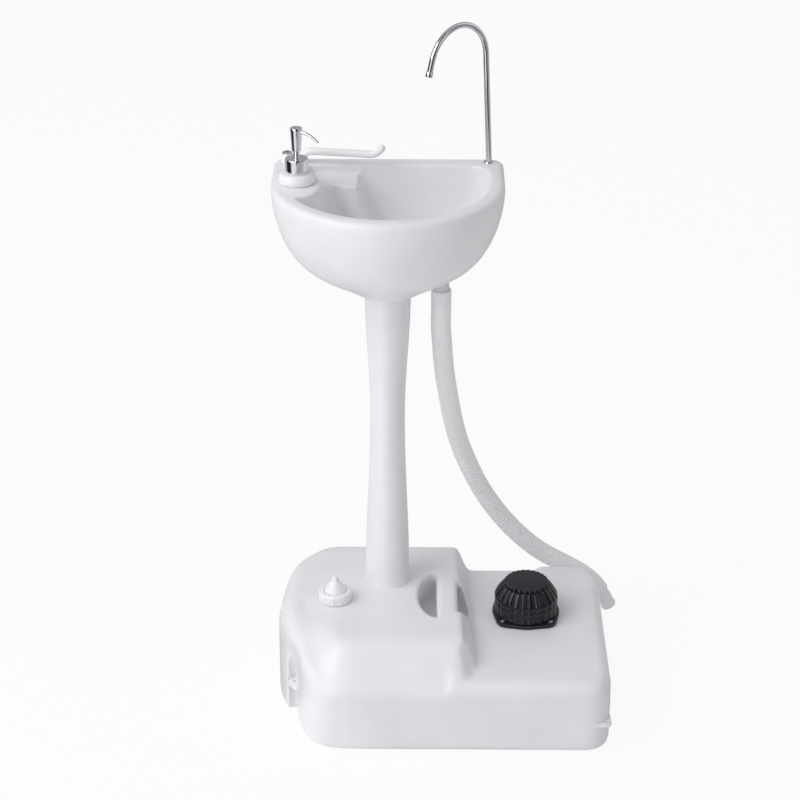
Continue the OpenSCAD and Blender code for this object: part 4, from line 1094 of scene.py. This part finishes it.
# the studio: pale paper floor, even white surroundings and three lamps; lengths in metres
studioSet = {
    "floor": 60,
    "floorShown": 0.9,  # plain white's share in the floor that the camera sees; the rest keeps the shadow
    "paper": "#f4f4f4",
    "sky": "#f4f4f5",
    "skyHeight": (0.5, 0.72),  # strength from the horizon to overhead
    "skySide": (1.2, 0.68),    # and its factor from left to right
    # what chrome shows, by compass direction: white screens with dark gaps between them
    "screens": [(0.0, "#a9a9ac"), (0.17, "#b5b5b7"), (0.21, "#26262a"), (0.33, "#2c2c30"), (0.36, "#ffffff"),
                (0.47, "#ffffff"), (0.50, "#1d1d20"), (0.60, "#242427"), (0.63, "#b4b3b5"), (0.76, "#87878b"),
                (0.80, "#f2f2f2"), (0.92, "#a9a9ac")],
    # name, place, aim, size and power
    "lamps": [("topLight", (-2.2, -1.2, 2.8), (0.05, 0, 0.4), 2.4, 46),
              ("lowLight", (-2.1, -2.8, 0.5), (0.05, 0, 0.45), 1.8, 20),
              ("fillLight", (2.3, -1.6, 1.8), (0.05, 0, 0.4), 1.4, 3)],
}


def screens(tree, output):
    way = addNode(tree, "ShaderNodeTexCoord")
    parts = addNode(tree, "ShaderNodeSeparateXYZ", {}, {"Vector": (way, output)})
    back = addNode(tree, "ShaderNodeMath", {"operation": "SUBTRACT", 0: 0.0}, {1: (parts, "Y")})
    compass = addNode(tree, "ShaderNodeMath", {"operation": "ARCTAN2"}, {0: (parts, "X"), 1: (back, "Value")})
    share = addNode(tree, "ShaderNodeMapRange", {"From Min": -math.pi, "From Max": math.pi},
                    {"Value": (compass, "Value")})
    ramp = addNode(tree, "ShaderNodeValToRGB", {}, {"Fac": (share, "Result")})
    while len(ramp.color_ramp.elements) < len(studioSet["screens"]):
        ramp.color_ramp.elements.new(1.0)
    for stop, (position, colour) in zip(ramp.color_ramp.elements, studioSet["screens"]):
        stop.position = position
        stop.color = linearColour(colour)
    return parts, ramp


bpy.ops.mesh.primitive_plane_add(size=studioSet["floor"], location=(0, 0, 0))
floor = bpy.context.object
floor.name = "floor"
paper = bpy.data.materials.new("paper")
paper.use_nodes = True
tree = paper.node_tree
tree.nodes.clear()
seen = addNode(tree, "ShaderNodeLightPath")
matt = addNode(tree, "ShaderNodeBsdfDiffuse", {"Color": linearColour(studioSet["paper"])})
white = addNode(tree, "ShaderNodeEmission", {"Color": (1, 1, 1, 1), "Strength": 1.0})
ramp = screens(tree, "Object")[1]
mirrored = addNode(tree, "ShaderNodeEmission", {"Strength": 1.0}, {"Color": (ramp, "Color")})
shown = addNode(tree, "ShaderNodeMath", {"operation": "MULTIPLY", 1: studioSet["floorShown"]},
                {0: (seen, "Is Camera Ray")})
lit = addNode(tree, "ShaderNodeMixShader", {},
              {0: (shown, "Value"), 1: (matt, "BSDF"), 2: (white, "Emission")})
shine = addNode(tree, "ShaderNodeMixShader", {},
                {0: (seen, "Is Glossy Ray"), 1: (lit, "Shader"), 2: (mirrored, "Emission")})
addNode(tree, "ShaderNodeOutputMaterial", {}, {"Surface": (shine, "Shader")})
floor.data.materials.append(paper)

world = bpy.data.worlds.new("studio")
bpy.context.scene.world = world
world.use_nodes = True
tree = world.node_tree
tree.nodes.clear()
seen = addNode(tree, "ShaderNodeLightPath")
parts, ramp = screens(tree, "Generated")
low, high = studioSet["skyHeight"]
height = addNode(tree, "ShaderNodeMapRange",
                 {"From Min": 0.0, "From Max": 1.0, "To Min": low, "To Max": high}, {"Value": (parts, "Z")})
left, right = studioSet["skySide"]
sideways = addNode(tree, "ShaderNodeMapRange",
                   {"From Min": -1.0, "From Max": 1.0, "To Min": left, "To Max": right},
                   {"Value": (parts, "X")})
strength = addNode(tree, "ShaderNodeMath", {"operation": "MULTIPLY"},
                   {0: (height, "Result"), 1: (sideways, "Result")})
soft = addNode(tree, "ShaderNodeBackground", {"Color": linearColour(studioSet["sky"])},
               {"Strength": (strength, "Value")})
bright = addNode(tree, "ShaderNodeBackground", {"Color": (1, 1, 1, 1), "Strength": 1.0})
mirrored = addNode(tree, "ShaderNodeBackground", {"Strength": 1.0}, {"Color": (ramp, "Color")})
shine = addNode(tree, "ShaderNodeMixShader", {},
                {0: (seen, "Is Glossy Ray"), 1: (soft, "Background"), 2: (mirrored, "Background")})
clear = addNode(tree, "ShaderNodeMath", {"operation": "MAXIMUM"},
                {0: (seen, "Is Camera Ray"), 1: (seen, "Is Transmission Ray")})
both = addNode(tree, "ShaderNodeMixShader", {},
               {0: (clear, "Value"), 1: (shine, "Shader"), 2: (bright, "Background")})
addNode(tree, "ShaderNodeOutputWorld", {}, {"Surface": (both, "Shader")})

for name, place, aim, size, power in studioSet["lamps"]:
    bpy.ops.object.light_add(type="AREA", location=place)
    lamp = bpy.context.object
    lamp.name = name
    lamp.data.size = size
    lamp.data.energy = power
    lamp.rotation_euler = (Vector(aim) - Vector(place)).to_track_quat("-Z", "Y").to_euler()
print("studio made")
